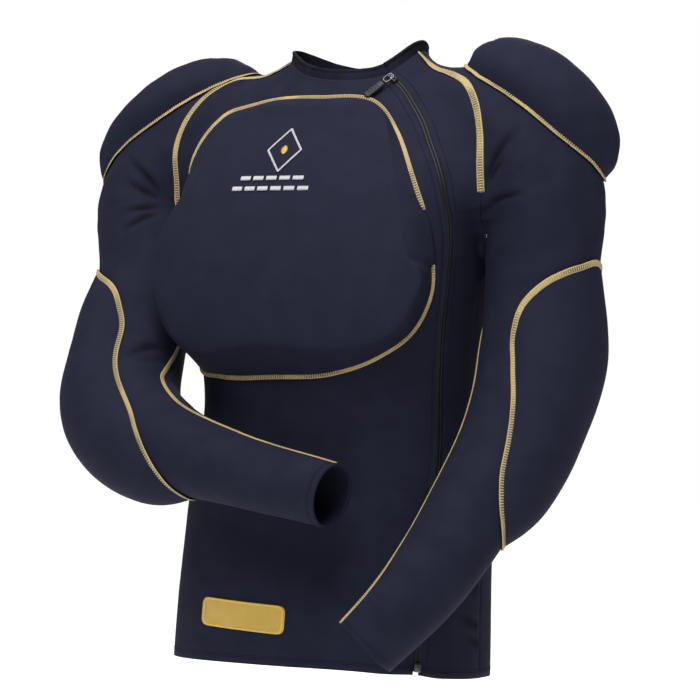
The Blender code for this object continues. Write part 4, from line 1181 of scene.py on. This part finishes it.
def addChestPad():
    spokes = 260
    seam, edgeLine = closedLine(chestPad["seam"], spokes), closedLine(chestPad["face"], spokes)
    middle = np.array([chestPad["middle"]])
    base, baseMiddle = overFront(*seam.T), overFront(*middle.T)
    rimOut = outward(base)
    towardsZip = seam[:, 0] > 0.1
    lip = smoothStep(-0.135, -0.165, seam[:, 1]) * smoothStep(-0.2085, -0.2050, seam[:, 1]) * towardsZip
    seam = seam + np.stack([chestPad["lip"] * lip, 0 * lip], 1)
    rim = overFront(*seam.T) + (pad["laid"] + 0.0012) * rimOut
    below = smoothStep(-0.2045, -0.2085, edgeLine[:, 1]) * smoothStep(-0.250, -0.225, edgeLine[:, 1])
    above = smoothStep(-0.150, -0.190, edgeLine[:, 1]) * smoothStep(-0.2085, -0.2045, edgeLine[:, 1])
    edgeLine[:, 0] += chestPad["step"] * (below - 0.6 * above) * (edgeLine[:, 0] > 0.1)
    faceEdge = chestFace(*edgeLine.T)
    rings = []
    for share in np.linspace(0, 1, 15)[:-1]:
        points = rim + (faceEdge - rim) * share
        floor = pad["laid"] + 0.0012 + 0.010 * share**0.8
        short = floor - figureDistance(points)
        bulge = (0.0008 + 0.0030 * lip) * math.sin(math.pi * share)
        out = outward(points)
        rings.append(points + (np.maximum(short, 0) + bulge)[:, None] * out)
    for share in 1 - (1 - np.linspace(0, 1, 26)[:-1]) ** 1.2:
        rings.append(chestFace(*(edgeLine + (middle - edgeLine) * share).T))
    top = np.array(rings)
    zone = slice(13, 16)
    top[zone] = (top[12:15] + 4 * top[zone] + top[14:17]) / 6
    normals = unit(np.cross(np.roll(top[2:-1], -1, 1) - np.roll(top[2:-1], 1, 1), top[3:] - top[1:-2]))
    normals *= np.sign(-normals[..., 1:2])
    for row in range(len(normals)):
        top[row + 2] = padTexture(top[row + 2], normals[row], 40.0)
    under = []
    turn, turnMiddle = torsoAngle(base), torsoAngle(baseMiddle)
    for share in (*ringShares(12), 1):
        angle = turn + (turnMiddle - turn) * share
        height = base[:, 2] + (baseMiddle[:, 2] - base[:, 2]) * share
        points = onFigure(torsoPoint(angle, height), 6)
        under.append(points + (pad["laid"] + 0.003 * rising(share, 4)) * outward(points))
    topMiddle, under, underMiddle = chestFace(*middle.T)[0], np.array(under[:-1]), under[-1][0]
    solid = addPad("chestPadCloth", top, topMiddle, under, underMiddle, materials["padKnit"])
    ridden(solid, ["chest_pad"])
    return base


shoulderSeams, elbowSeams = {}, {}
for side, label in hands:
    shoulderSeams[side] = addShoulderPad(side, f"shoulderPad{label}Cloth", f"shoulder_pad_{label.lower()}")
for side, label in hands:
    elbowSeams[side] = addElbowPad(side, f"elbowPad{label}Cloth", f"elbow_pad_{label.lower()}")
chestSeam = addChestPad()
print("pads made")

band = {
    "width": 0.0070, "thick": 0.0007, "step": 0.0026, "lift": 0.0006,
    "raglan": {-1: 0.0062, 1: 0.0080}, "chest": 0.0060, "inner": 0.0052, "tucked": -0.0035,
}


def evenly(line, step, closed=False):
    if closed:
        line = np.concatenate([line, line[:1]])
    stations = lengthsAlong(line)
    count = max(int(round(stations[-1] / step)), 4)
    at = np.linspace(0, stations[-1], count + 1)
    if closed:
        at = at[:-1]
    return np.stack([np.interp(at, stations, line[:, i]) for i in range(3)], 1)


def smoothed(line, rounds, closed=False):
    for _ in range(rounds):
        mean = (np.roll(line, 1, 0) + 2 * line + np.roll(line, -1, 0)) / 4
        if closed:
            line = mean
        else:
            line[1:-1] = mean[1:-1]
    return line


def addBand(name, line, out, closed=False, width=None, taper=False):
    width = width or band["width"]
    count = len(line)
    run = np.roll(line, -1, 0) - np.roll(line, 1, 0) if closed else np.gradient(line, axis=0)
    run = unit(run)
    out = unit(out - (out * run).sum(1, keepdims=True) * run)
    across = np.cross(out, run)
    shares = np.array([-1, -0.8, -0.4, 0, 0.4, 0.8, 1])
    heights = band["thick"] * np.array([0.15, 0.95, 0.72, 0.78, 0.72, 0.95, 0.15])
    narrow = np.ones(count)
    if taper:
        share = np.linspace(0, 1, count)
        narrow = 0.45 + 0.55 * smoothStep(0, 0.10, share) * smoothStep(0, 0.10, 1 - share)
    half = (narrow * width / 2)[:, None, None]
    top = line[:, None] + across[:, None] * shares[:, None] * half + out[:, None] * heights[:, None]
    low = line[:, None] + across[:, None] * shares[:, None] * half * 0.96 - out[:, None] * 0.0003
    if closed:
        top, low = top.transpose(1, 0, 2), low.transpose(1, 0, 2)
    solid = addWall(name, top, low, materials["band"], roundTrip=closed)
    stations = lengthsAlong(line)
    if closed:
        along = np.broadcast_to(stations, (7, count))
        acrossShare = np.broadcast_to(shares[:, None], (7, count))
    else:
        along = np.broadcast_to(stations[:, None], (count, 7))
        acrossShare = np.broadcast_to(shares, (count, 7))
    setFloats(solid, along=np.tile(along.ravel(), 2), across=np.tile(acrossShare.ravel(), 2))
    ridden(solid)
    rungs = evenly(line, gold["pitch"], closed)
    picks = picksFrom(count, len(rungs))
    row = addRow(
        name + "Rungs", rungs + out[picks] * (band["thick"] * 0.85), across[picks], out[picks],
        (width * 0.86, 0.0010, 0.0008), "stitch", materials["rung"], narrow[picks],
    )
    return ridden(row)


def seamBand(name, line, surfaceOut=None, lift=None, closed=False, taper=False, width=None, tuck=None):
    line = smoothed(evenly(np.asarray(line), band["step"], closed), 3, closed)
    out = outward(line) if surfaceOut is None else surfaceOut(line)
    lift = band["lift"] if lift is None else lift
    if tuck is not None:  # where a fold covers the seam, it lies inside the cloth
        lift = np.where(tuck(line), band["tucked"], lift)[:, None]
    return addBand(name, line + lift * out, out, closed, width, taper)


def nearPit(side, line, reach=0.022):
    return np.linalg.norm(line - pits[side], axis=1) < reach


for side, label in hands:
    armpitTuck = (lambda line: line[:, 2] < -0.128) if side > 0 else None
    width = band["raglan"][side]
    line = finerAlong(raglanFront[side], 8)
    seamBand(f"raglanFront{label}Band", line, taper=True, width=width, tuck=armpitTuck)
    seamBand(f"raglanBack{label}Band", finerAlong(raglanBack[side], 8), tuck=partial(nearPit, side))
    shoulderLine = onFigure(shoulderSeams[side], 4)
    seamBand(f"shoulder{label}Band", shoulderLine, lift=pad["laid"] + pad["rim"] + 0.0006, closed=True)

seamBand(
    "chestBand", chestSeam, lift=pad["laid"] + 0.0020, closed=True, width=band["chest"],
    tuck=lambda line: (line[:, 0] > 0.1) & (line[:, 2] < -0.152) & (line[:, 2] > -0.206),
)


def tubeBand(name, side, places, closed, lift=None, width=None, tuck=None):
    arm = arms[side]
    points, _ = arm.points(places[:, 0], places[:, 1])
    line = smoothed(evenly(points, band["step"], closed), 3, closed)
    centres = arm.frame(np.linspace(armShape["tubeStarts"] * arm.length * 0.5, arm.length, 400))[0]
    nearest = np.linalg.norm(line[:, None] - centres, axis=2).argmin(1)
    out = unit(line - centres[nearest])
    lift = pad["laid"] + pad["rim"] + 0.0006 if lift is None else lift
    if tuck is not None:
        lift = np.where(tuck(line), band["tucked"], lift)[:, None]
    return addBand(name, line + lift * out, out, closed, width)


for side, label in hands:
    arm = arms[side]
    tubeBand(f"elbow{label}Band", side, elbowSeams[side], True)
    along = np.linspace(armShape["tubeStarts"] * arm.length, arm.length - 0.002, 160)
    turned = -26 * (1 - smoothStep(0.44, 0.60, along / arm.length)) if side > 0 else np.zeros(160)
    hiddenEnd = (lambda line: line[:, 2] > -0.262) if side > 0 else None
    places = np.stack([along, turned], 1)
    tubeBand(f"innerSeam{label}Band", side, places, False, lift=0.0007, width=band["inner"], tuck=hiddenEnd)
print("gold seams made")

collarRows = 13
rim = {"thick": 0.0024, "roll": 0.0007}


def collarSeam():
    loop = [
        finerAlong(stripNeck, finer["front"])[:-1],
        finerAlong(sleeveNeck[1], finer["front"])[:-1],
        finerAlong(backNeck, finer["front"])[:-1],
        finerAlong(sleeveNeck[-1], finer["front"])[:0:-1],
        finerAlong(frontNeck, finer["front"]),
    ]
    return np.concatenate(loop)


def addCollar():
    seam = smoothed(collarSeam(), 3)
    radial = unit(seam * (1, 1, 0))
    along = unit(np.gradient(seam, axis=0))
    up = unit(np.array([0, 0, 1]) - 0.12 * radial)
    up = unit(up - 0.7 * (up * along).sum(1, keepdims=True) * along)
    shares = np.append(np.linspace(1, 0, collarRows), -0.16)  # its foot stands inside the cloth
    grid = np.array([seam + collar["height"] * share * up for share in shares])
    roll, groove = np.exp(-(((shares - 0.88) / 0.10) ** 2)), np.exp(-(((shares - 0.62) / 0.08) ** 2))
    puff = rim["roll"] * (roll - 0.6 * groove)
    ripple = np.array([noise.noise(Vector(p) * 46) for p in seam])
    outer = grid + (puff[:, None] + 0.0009 * ripple * shares[:, None])[..., None] * radial
    inner = outer - (cloth["thick"] + 0.8 * puff)[:, None, None] * radial
    edges = {"left": zipShape["opening"] / 2, "right": 0.0004 - zipShape["opening"] / 2}
    solid = addWall("collarCloth", drawnIn(outer, edges), drawnIn(inner, edges), materials["collarRib"])
    setFloats(solid, fold=np.zeros(len(solid.data.vertices)))
    ridden(solid, ["collar"])


addCollar()


def addStitches(name, line, out, pitch, length, width, lift, material, height=0.0005):
    spots = evenly(line, pitch)
    picks = picksFrom(len(line), len(spots))
    run = unit(np.gradient(spots, axis=0))
    size = (length, width, height)
    return ridden(addRow(name, spots + lift * out[picks], run, out[picks], size, "stitch", material))


def inset(grid, out, away, row=-1):
    edge, beside = grid[row], grid[row - 1 if row < 0 else row + 1]
    inwards = unit(beside - edge)
    return edge + away * inwards


stitch = {"pitch": 0.0030, "length": 0.0021, "width": 0.0006, "hem": (0.0068, 0.0092), "cuff": (0.0068, 0.0088)}
for index, away in enumerate(stitch["hem"]):
    panels = (("Front", frontSurface, frontOut), ("Strip", stripSurface, stripOut), ("Back", backSurface, backOut))
    for label, surface, out in panels:
        addStitches(
            f"hem{label}Stitches{index}", inset(surface, out, away), out[-1],
            stitch["pitch"], stitch["length"], stitch["width"], 0.0001, materials["darkThread"],
        )
for side, label in hands:
    _, surface, out = sleevePieces[side]
    closed = np.concatenate([surface, surface[:, :1]], 1)
    closedOut = np.concatenate([out, out[:, :1]], 1)
    for index, away in enumerate(stitch["cuff"]):
        addStitches(
            f"cuff{label}Stitches{index}", inset(closed, closedOut, away), closedOut[-1],
            stitch["pitch"], stitch["length"], stitch["width"], 0.0001, materials["darkThread"],
        )

# The zip: tape, two satin cords with the teeth between them, slider, link, tab and box.
zipFine = finerAlong(zipCentre, finer["front"], (cuts["raglan"],))
zipFine[1:-1] = onFigure(zipFine[1:-1], 2)
zipOut = outward(zipFine)
zipRun = unit(np.gradient(zipFine, axis=0))
zipOut = unit(zipOut - (zipOut * zipRun).sum(1, keepdims=True) * zipRun)
zipAcross = np.cross(zipOut, zipRun)
zipParts = {
    "tapeTop": -0.0023,
    "tapeEnds": 0.0010,
    "cord": 0.0036,
    "cordApart": 0.0036,
    "cordHeight": -0.0004,
    "teethPitch": 0.0013,
    "teeth": (0.0019, 0.00085, 0.0011),
    "stitchAway": 0.0062,
    "ends": 0.0016,
}


def cutEnds(line, others, amount):
    stations = lengthsAlong(line)
    keep = (stations > amount) & (stations < stations[-1] - amount)
    return line[keep], [other[keep] for other in others]


def addZipTape():
    line, (out, across) = cutEnds(zipFine, (zipOut, zipAcross), zipParts["tapeEnds"])
    shares = np.linspace(-1, 1, 9)
    flat = line[:, None] + across[:, None] * (shares * zipShape["tapeWidth"] / 2)[:, None]
    top = flat + zipParts["tapeTop"] * out[:, None]
    low = top - zipShape["tapeThick"] * out[:, None]
    solid = addWall("zipTapeWeave", top, low, materials["tape"])
    return ridden(solid, ["zip_tape"])


def tube(name, line, out, across, radius, material, squash=1.0, sides=10):
    turn = np.arange(sides) * 2 * math.pi / sides
    wide, high = np.cos(turn)[:, None], squash * np.sin(turn)[:, None]
    rings = line[:, None] + radius * (wide * across[:, None] + high * out[:, None])
    return addMesh(name, rings.reshape(-1, 3), tubeFaces(len(line), sides), material)


addZipTape()
line, (out, across) = cutEnds(zipFine, (zipOut, zipAcross), zipParts["ends"])
for hand, label in ((-1, "Left"), (1, "Right")):
    centre = line + hand * zipParts["cordApart"] / 2 * across + zipParts["cordHeight"] * out
    half = zipParts["cord"] / 2
    ridden(tube(f"zipCord{label}", centre, out, across, half, materials["coil"], squash=0.55), ["zip_chain"])
spots = evenly(line, zipParts["teethPitch"])
picks = picksFrom(len(line), len(spots))
swing = np.where(np.arange(len(spots)) % 2, 0.0005, -0.0005)[:, None]
places = spots + swing * across[picks] + (zipParts["cordHeight"] + 0.0001) * out[picks]
teeth = addRow("zipTeeth", places, across[picks], out[picks], zipParts["teeth"], "tooth", materials["coil"])
ridden(teeth)
for hand, label in ((-1, "Left"), (1, "Right")):
    away = hand * (zipShape["opening"] / 2 + zipParts["stitchAway"])
    shifted = line + away * across
    shifted = onFigure(shifted, 2)
    addStitches(f"zip{label}Stitches", shifted, outward(shifted), 0.0030, 0.0020, 0.0006, 0.0004, materials["darkThread"])
print("zip and stitches made")

hardware = {
    "sliderLength": 0.013,
    "sliderWidth": 0.0074,
    "sliderThick": 0.0026,
    "bailLength": 0.0092,
    "bailBar": 0.0012,
    "bailWindow": 0.0024,
    "linkLength": 0.0135,
    "linkWidth": 0.0085,
    "linkThick": 0.0014,
    "tabLength": 0.026,
    "tabWidth": 0.0088,
    "tabThick": 0.0024,
    "droop": 5,
    "boxLength": 0.01,
    "boxWidth": 0.0072,
    "boxThick": 0.0036,
}


def zipPlace(down, height, lean=0.0):
    stations = lengthsAlong(zipCentre)
    near = curveThrough(stations, zipCentre, np.array([down - 0.002, down, down + 0.002]))
    up = unit(near[0] - near[2])
    out = outward(onFigure(near[1:2]))[0]
    out = unit(out - out.dot(up) * up)
    turned = Matrix(np.array([up, np.cross(out, up), out]).T.tolist()).to_4x4()
    return Matrix.Translation(near[1] + height * out) @ turned @ Matrix.Rotation(lean, 4, "X")


def loft(name, sections, place, material):
    sections = [np.array(section, float) for section in sections]
    sides = len(sections[0])
    faces = tubeFaces(len(sections), sides)
    points = np.concatenate(sections)
    points = np.array([place @ Vector(point) for point in points])
    return addMesh(name, points, faces, material)


def roundedBox(length, width, thick, corner, steps=3):
    outline = []
    for signX, signY, start in ((1, 1, 0), (-1, 1, 90), (-1, -1, 180), (1, -1, 270)):
        for degrees in np.linspace(start, start + 90, steps + 1):
            turn = math.radians(degrees)
            x = signX * (length / 2 - corner) + corner * math.cos(turn)
            outline.append((x, signY * (width / 2 - corner) + corner * math.sin(turn)))
    ease = min(thick * 0.3, corner * 0.6)
    rows = []
    for shrink, z in ((ease, -thick / 2), (0, -thick / 2 + ease), (0, thick / 2 - ease), (ease, thick / 2)):
        rows.append([((1 - 2 * shrink / length) * x, (1 - 2 * shrink / width) * y, z) for x, y in outline])
    return rows


def moved(rows, x=0.0, y=0.0, z=0.0):
    return [[(a + x, b + y, c + z) for a, b, c in row] for row in rows]


def ringSolid(name, outer, inner, thick, place, material, offset=(0, 0, 0)):
    ease = thick * 0.3
    profile = [
        (0, -thick / 2 + ease), (0, thick / 2 - ease), (ease, thick / 2), (1, thick / 2),
        (2, thick / 2 - ease), (2, -thick / 2 + ease), (1, -thick / 2), (ease, -thick / 2),
    ]
    outer, inner = np.array(outer), np.array(inner)
    count = len(outer)
    rows = []
    for kind, z in profile:
        share = {0: 0.0, 1: 0.75, 2: 1.0}.get(kind, 0.25)
        flat = outer + (inner - outer) * share
        rows.append([(x + offset[0], y + offset[1], z + offset[2]) for x, y in flat])
    points = np.array([place @ Vector(point) for row in rows for point in row])
    faces = []
    for row in range(len(rows)):
        after = (row + 1) % len(rows)
        for step in range(count):
            beside = (step + 1) % count
            a, b = row * count, after * count
            faces.append([a + step, a + beside, b + beside, b + step])
    return addMesh(name, points, faces, material)


def oval(halfLength, halfWidth, squareness=3.5, steps=40):
    turn = np.arange(steps) * 2 * math.pi / steps
    x, y = np.cos(turn), np.sin(turn)
    share = (np.abs(x) ** squareness + np.abs(y) ** squareness) ** (1 / squareness)
    return np.stack([x / share * halfLength, y / share * halfWidth], 1)


def addHardware():
    h = hardware
    barHeight = h["sliderThick"] + h["bailWindow"] + h["bailBar"] / 2
    chainTop = -(0.002 + 0.0003) + 0.0003 + 0.0020
    axis = chainTop + 0.0006 + barHeight
    place = zipPlace(zipShape["sliderDown"], axis)
    body = roundedBox(h["sliderLength"], h["sliderWidth"], h["sliderThick"], 0.0022)
    sliderBody = loft("sliderBody", moved(body, z=h["sliderThick"] / 2 - barHeight), place, materials["nickel"])
    ridden(sliderBody, ["zip_slider"])
    arch = []
    for turn in np.linspace(0, math.pi, 15):
        x = (h["bailLength"] / 2 - h["bailBar"] / 2) * math.cos(turn)
        z = -h["bailWindow"] - h["bailBar"] / 2 + (h["bailWindow"] + h["bailBar"] / 2) * math.sin(turn) ** 0.35
        arch.append((x, 0, z - 0.0))
    archLine = np.array([place @ Vector(point) for point in arch])
    archRun = unit(np.gradient(archLine, axis=0))
    side = np.array((place.to_3x3() @ Vector((0, 1, 0))))
    archAcross = np.tile(side, (len(archLine), 1))
    archOut = unit(np.cross(archRun, archAcross))
    ridden(tube("sliderBail", archLine, archOut, archAcross, h["bailBar"] / 2, materials["nickel"]))
    pull = zipPlace(zipShape["sliderDown"], axis, math.radians(-h["droop"]))
    middle = (h["linkLength"] - 0.0022) / 2
    outer = oval(h["linkWidth"] / 2, h["linkLength"] / 2 + 0.0002)
    inner = oval(h["linkWidth"] / 2 - 0.0017, h["linkLength"] / 2 - 0.0016)
    link = ringSolid("pullLink", outer, inner, h["linkThick"], pull, materials["nickel"], (0, middle, 0))
    ridden(link, ["zip_pull_link"], "pull")
    rows = []
    length, width, thick = h["tabLength"], h["tabWidth"], h["tabThick"]
    start = h["linkLength"] + 0.0003
    for share in np.linspace(0, 1, 61):
        ridge = 0.5 + 0.5 * math.cos(share * 2 * math.pi * 7)
        ridge = ridge if 0.22 < share < 0.88 else 0.5
        end = min(1.0, 0.35 + 2.6 * math.sqrt(max(min(share, 1 - share), 0)))
        waist = 1 - 0.22 * math.exp(-(((share - 0.14) / 0.08) ** 2))
        halfThick = thick / 2 * (0.62 + 0.38 * ridge) * min(1, end + 0.1)
        outline = oval(width / 2 * end * waist, halfThick, 3.2, 24)
        rows.append([(x, start + share * length, z) for x, z in outline])
    tab = loft("pullTab", rows, pull, materials["tab"])
    ridden(tab, ["zip_pull_tab"], "pull")
    boxPlace = zipPlace(lengthsAlong(zipCentre)[-1] - 0.008, chainTop + 0.0006 + h["boxThick"] / 2)
    boxRows = roundedBox(h["boxLength"], h["boxWidth"], h["boxThick"], 0.0012)
    ridden(loft("zipBoxBody", boxRows, boxPlace, materials["nickel"]), ["zip_box"])
    for index, x in enumerate((-0.0024, 0.0, 0.0024)):
        bar = roundedBox(0.0008, h["boxWidth"] * 0.86, 0.0006, 0.0003, 2)
        rows = moved(bar, x=x, z=h["boxThick"] / 2 + 0.0002)
        ridden(loft(f"zipBoxBar{index}", rows, boxPlace, materials["nickel"]))


addHardware()
print("zip hardware made")

patch = {
    "left": -0.104, "right": 0.01, "top": -0.577, "bottom": -0.607,
    "corner": 0.007, "laid": 0.0004, "thick": 0.0010, "border": 0.0026,
}


def patchPoints(shrink):
    width, height = patch["right"] - patch["left"], patch["top"] - patch["bottom"]
    corner = max(patch["corner"] - shrink, 0.002)
    rows = roundedBox(width - 2 * shrink, height - 2 * shrink, 0.001, corner, 8)
    outline = np.array([(x, z) for x, z, _ in rows[1]])
    x = outline[:, 0] + (patch["left"] + patch["right"]) / 2
    z = outline[:, 1] + (patch["top"] + patch["bottom"]) / 2
    return x, z


def addPatch():
    outlineX, outlineZ = patchPoints(0)
    middleX, middleZ = outlineX.mean(), outlineZ.mean()
    outline = np.stack([outlineX, outlineZ], 1)
    wrapped = np.concatenate([outline, outline[:1]])
    stations = lengthsAlong(wrapped)
    even = np.linspace(0, stations[-1], 121)[:-1]
    outline = np.stack([np.interp(even, stations, wrapped[:, i]) for i in range(2)], 1)
    centre = np.array([middleX, middleZ])

    def rings(shares, over):
        found = []
        for share in shares:
            flat = outline + (centre - outline) * share
            base = overFront(flat[:, 0], flat[:, 1])
            found.append(base + (patch["laid"] + over(share)) * outward(base))
        return np.array(found)

    shares = [0, 0.02, 0.05, 0.08, 0.12, 0.2, 0.35, 0.5, 0.65, 0.8, 0.93]

    def height(share):  # proud at the stitched edge, a little lower inside it
        rise, dip = float(smoothStep(0, 0.03, share)), float(smoothStep(0.05, 0.12, share))
        return patch["thick"] * (0.55 + 0.55 * rise - 0.25 * dip)

    top = rings(shares, height)
    under = rings([0, 0.3, 0.7], lambda share: 0.0)
    base = overFront(np.array([middleX]), np.array([middleZ]))
    out = outward(base)
    topMiddle = (base + (patch["laid"] + 0.85 * patch["thick"]) * out)[0]
    underMiddle = (base + patch["laid"] * out)[0]
    solid = addPad("hemPatch", top, topMiddle, under, underMiddle, materials["yellow"])
    count = len(solid.data.vertices)
    flat = np.array([vertex.co for vertex in solid.data.vertices])
    setFloats(solid, along=flat[:, 0], across=flat[:, 2] * 400)
    ridden(solid, ["label_patch"])
    flat = outline + (centre - outline) * 0.055
    ring = overFront(flat[:, 0], flat[:, 1])
    ringOut = outward(ring)
    run = unit(np.roll(ring, -1, 0) - np.roll(ring, 1, 0))
    places = evenly(ring, 0.0009, closed=True)
    picks = np.linspace(0, len(ring), len(places), endpoint=False).round().astype(int) % len(ring)
    across = np.cross(ringOut, run)
    places += (patch["laid"] + patch["thick"]) * ringOut[picks]
    size = (patch["border"], 0.0008, 0.0007)
    row = addRow("patchBorder", places, across[picks], ringOut[picks], size, "stitch", materials["yellowThread"])
    ridden(row)


addPatch()

emblem = {
    "centre": (-0.016, -0.087),
    "half": (0.021, 0.024),
    "thread": 0.0026,
    "dot": 0.0042,
    "dash": (0.0124, 0.0168),
    "dashRows": ((5, -0.006, -0.0315), (6, -0.006, -0.0430)),
    "dashWidth": 0.0052,
}


def onFace(x, z, over):
    points = chestFace(x, z)
    step = 0.004
    alongX = chestFace(x + step, z) - chestFace(x - step, z)
    alongZ = chestFace(x, z + step) - chestFace(x, z - step)
    out = unit(np.cross(alongX, alongZ))
    return points + over * out, out


def addThreadLine(name, x, z, width, material):
    points, out = onFace(np.asarray(x), np.asarray(z), 0.0010)
    spots = evenly(points, 0.00075)
    picks = picksFrom(len(points), len(spots))
    run = unit(np.gradient(spots, axis=0))
    across = np.cross(out[picks], run)
    row = addRow(name, spots, across, out[picks], (width, 0.0009, 0.0009), "stitch", material)
    return ridden(row)


def addEmblem():
    x0, z0 = emblem["centre"]
    a, b = emblem["half"]
    corners = [(0, b), (a, 0), (0, -b), (-a, 0)]
    for index in range(4):
        (x1, z1), (x2, z2) = corners[index], corners[(index + 1) % 4]
        share = np.linspace(0, 1, 40)
        x, z = x0 + x1 + (x2 - x1) * share, z0 + z1 + (z2 - z1) * share
        addThreadLine(f"emblemSide{index}", x, z, emblem["thread"], materials["whiteThread"])
    for index, offset in enumerate(np.linspace(-1, 1, 9)):
        half = emblem["dot"] * math.sqrt(max(1 - (offset * 0.92) ** 2, 0.02))
        share = np.linspace(-half, half, 12)
        z = z0 + offset * emblem["dot"]
        points, out = onFace(np.array([x0]), np.array([z]), 0.0011)
        size, level = (2 * half, 0.0012, 0.0011), np.array([[1.0, 0, 0]])
        row = addRow(f"emblemDot{index}", points, level, out, size, "stitch", materials["yellowThread"])
        ridden(row)
    length, pitch = emblem["dash"]
    for row, (count, x, z) in enumerate(emblem["dashRows"]):
        for index in range(count):
            share = x0 + x + (index - (count - 1) / 2) * pitch + np.linspace(-length / 2, length / 2, 24)
            level = z0 + z + 0 * share
            addThreadLine(f"emblemDash{row}{index}", share, level, emblem["dashWidth"], materials["whiteThread"])


addEmblem()
print("patch and emblem made")

for solid in list(bpy.data.objects):
    if solid.name in frame["nodes"] and not solid.hide_render:
        print("plain node left showing:", solid.name)

camera = {"azimuth": 29.0, "distance": 2.4, "height": -0.300, "roll": 2.0, "lens": 109.2}
floor = {"height": -1.05, "radius": 9.0, "colour": (0.96, 0.96, 0.96), "glow": 0.9}


def addCamera():
    turn = math.radians(camera["azimuth"])
    away = camera["distance"]
    place = Vector((math.sin(turn) * away, -math.cos(turn) * away, camera["height"]))
    look = Vector((-math.sin(turn), math.cos(turn), 0))
    view = bpy.data.objects.new("camera", bpy.data.cameras.new("camera"))
    view.data.lens = camera["lens"]
    view.data.sensor_width = 36
    view.data.clip_end = 50
    view.rotation_mode = "QUATERNION"
    level = look.to_track_quat("-Z", "Y").to_matrix()
    view.rotation_quaternion = (level @ Matrix.Rotation(math.radians(camera["roll"]), 3, "Z")).to_quaternion()
    view.location = place
    bpy.context.scene.collection.objects.link(view)
    bpy.context.scene.camera = view


def addFloor():
    turn = np.arange(48) * 2 * math.pi / 48
    points = np.stack([np.cos(turn), np.sin(turn), 0 * turn], 1) * floor["radius"] + (0, 0, floor["height"])
    paper = plainMaterial("floorPaper", floor["colour"], 0.95, bump=0.00002, scale=300.0)
    surface = paper.node_tree.nodes["Principled BSDF"]
    surface.inputs["Emission Color"].default_value = (1, 1, 1, 1)
    surface.inputs["Emission Strength"].default_value = floor["glow"]
    addMesh("floorPaper", points, [list(range(48))], paper, recalc=False)


def addLight(name, degrees, elevation, distance, size, power, colour=(1, 1, 1)):
    turn, rise = math.radians(degrees), math.radians(elevation)
    lamp = bpy.data.objects.new(name, bpy.data.lights.new(name, "AREA"))
    lamp.data.shape, lamp.data.size, lamp.data.size_y = "RECTANGLE", size[0], size[1]
    lamp.data.energy, lamp.data.color = power, colour
    target = Vector((0, -0.05, -0.32))
    flat = math.cos(rise)
    lamp.location = target + distance * Vector((math.sin(turn) * flat, -math.cos(turn) * flat, math.sin(rise)))
    lamp.rotation_mode = "QUATERNION"
    lamp.rotation_quaternion = (target - lamp.location).to_track_quat("-Z", "Y")
    bpy.context.scene.collection.objects.link(lamp)


addCamera()
addFloor()
lights = {
    "key": (16, 54, 2.6, (1.2, 1.2), 84),
    "left": (-66, 24, 2.8, (1.0, 1.4), 5),
    "right": (84, 20, 2.8, (1.0, 1.4), 1.5),
    "top": (8, 82, 2.4, (1.2, 1.2), 34),
    "back": (-160, 30, 2.6, (1.4, 1.4), 16),
}
for name, (degrees, elevation, distance, size, power) in lights.items():
    addLight(name, degrees, elevation, distance, size, power)
room = {"light": 0.16, "white": 1.0}  # soft light from all round, in front of a white wall


def addRoom():
    world = bpy.data.worlds.new("studio")
    world.use_nodes = True
    nodes, links = world.node_tree.nodes, world.node_tree.links
    nodes.clear()
    seen, mix = nodes.new("ShaderNodeLightPath"), nodes.new("ShaderNodeMixShader")
    end = nodes.new("ShaderNodeOutputWorld")
    links.new(seen.outputs["Is Camera Ray"], mix.inputs[0])
    for index, name in enumerate(room):
        wall = nodes.new("ShaderNodeBackground")
        wall.inputs["Strength"].default_value = room[name]
        wall.inputs["Color"].default_value = (1, 1, 1, 1)
        links.new(wall.outputs[0], mix.inputs[index + 1])
    links.new(mix.outputs[0], end.inputs["Surface"])
    bpy.context.scene.world = world


addRoom()
bpy.context.scene.view_settings.view_transform = "Standard"
print("stage made")
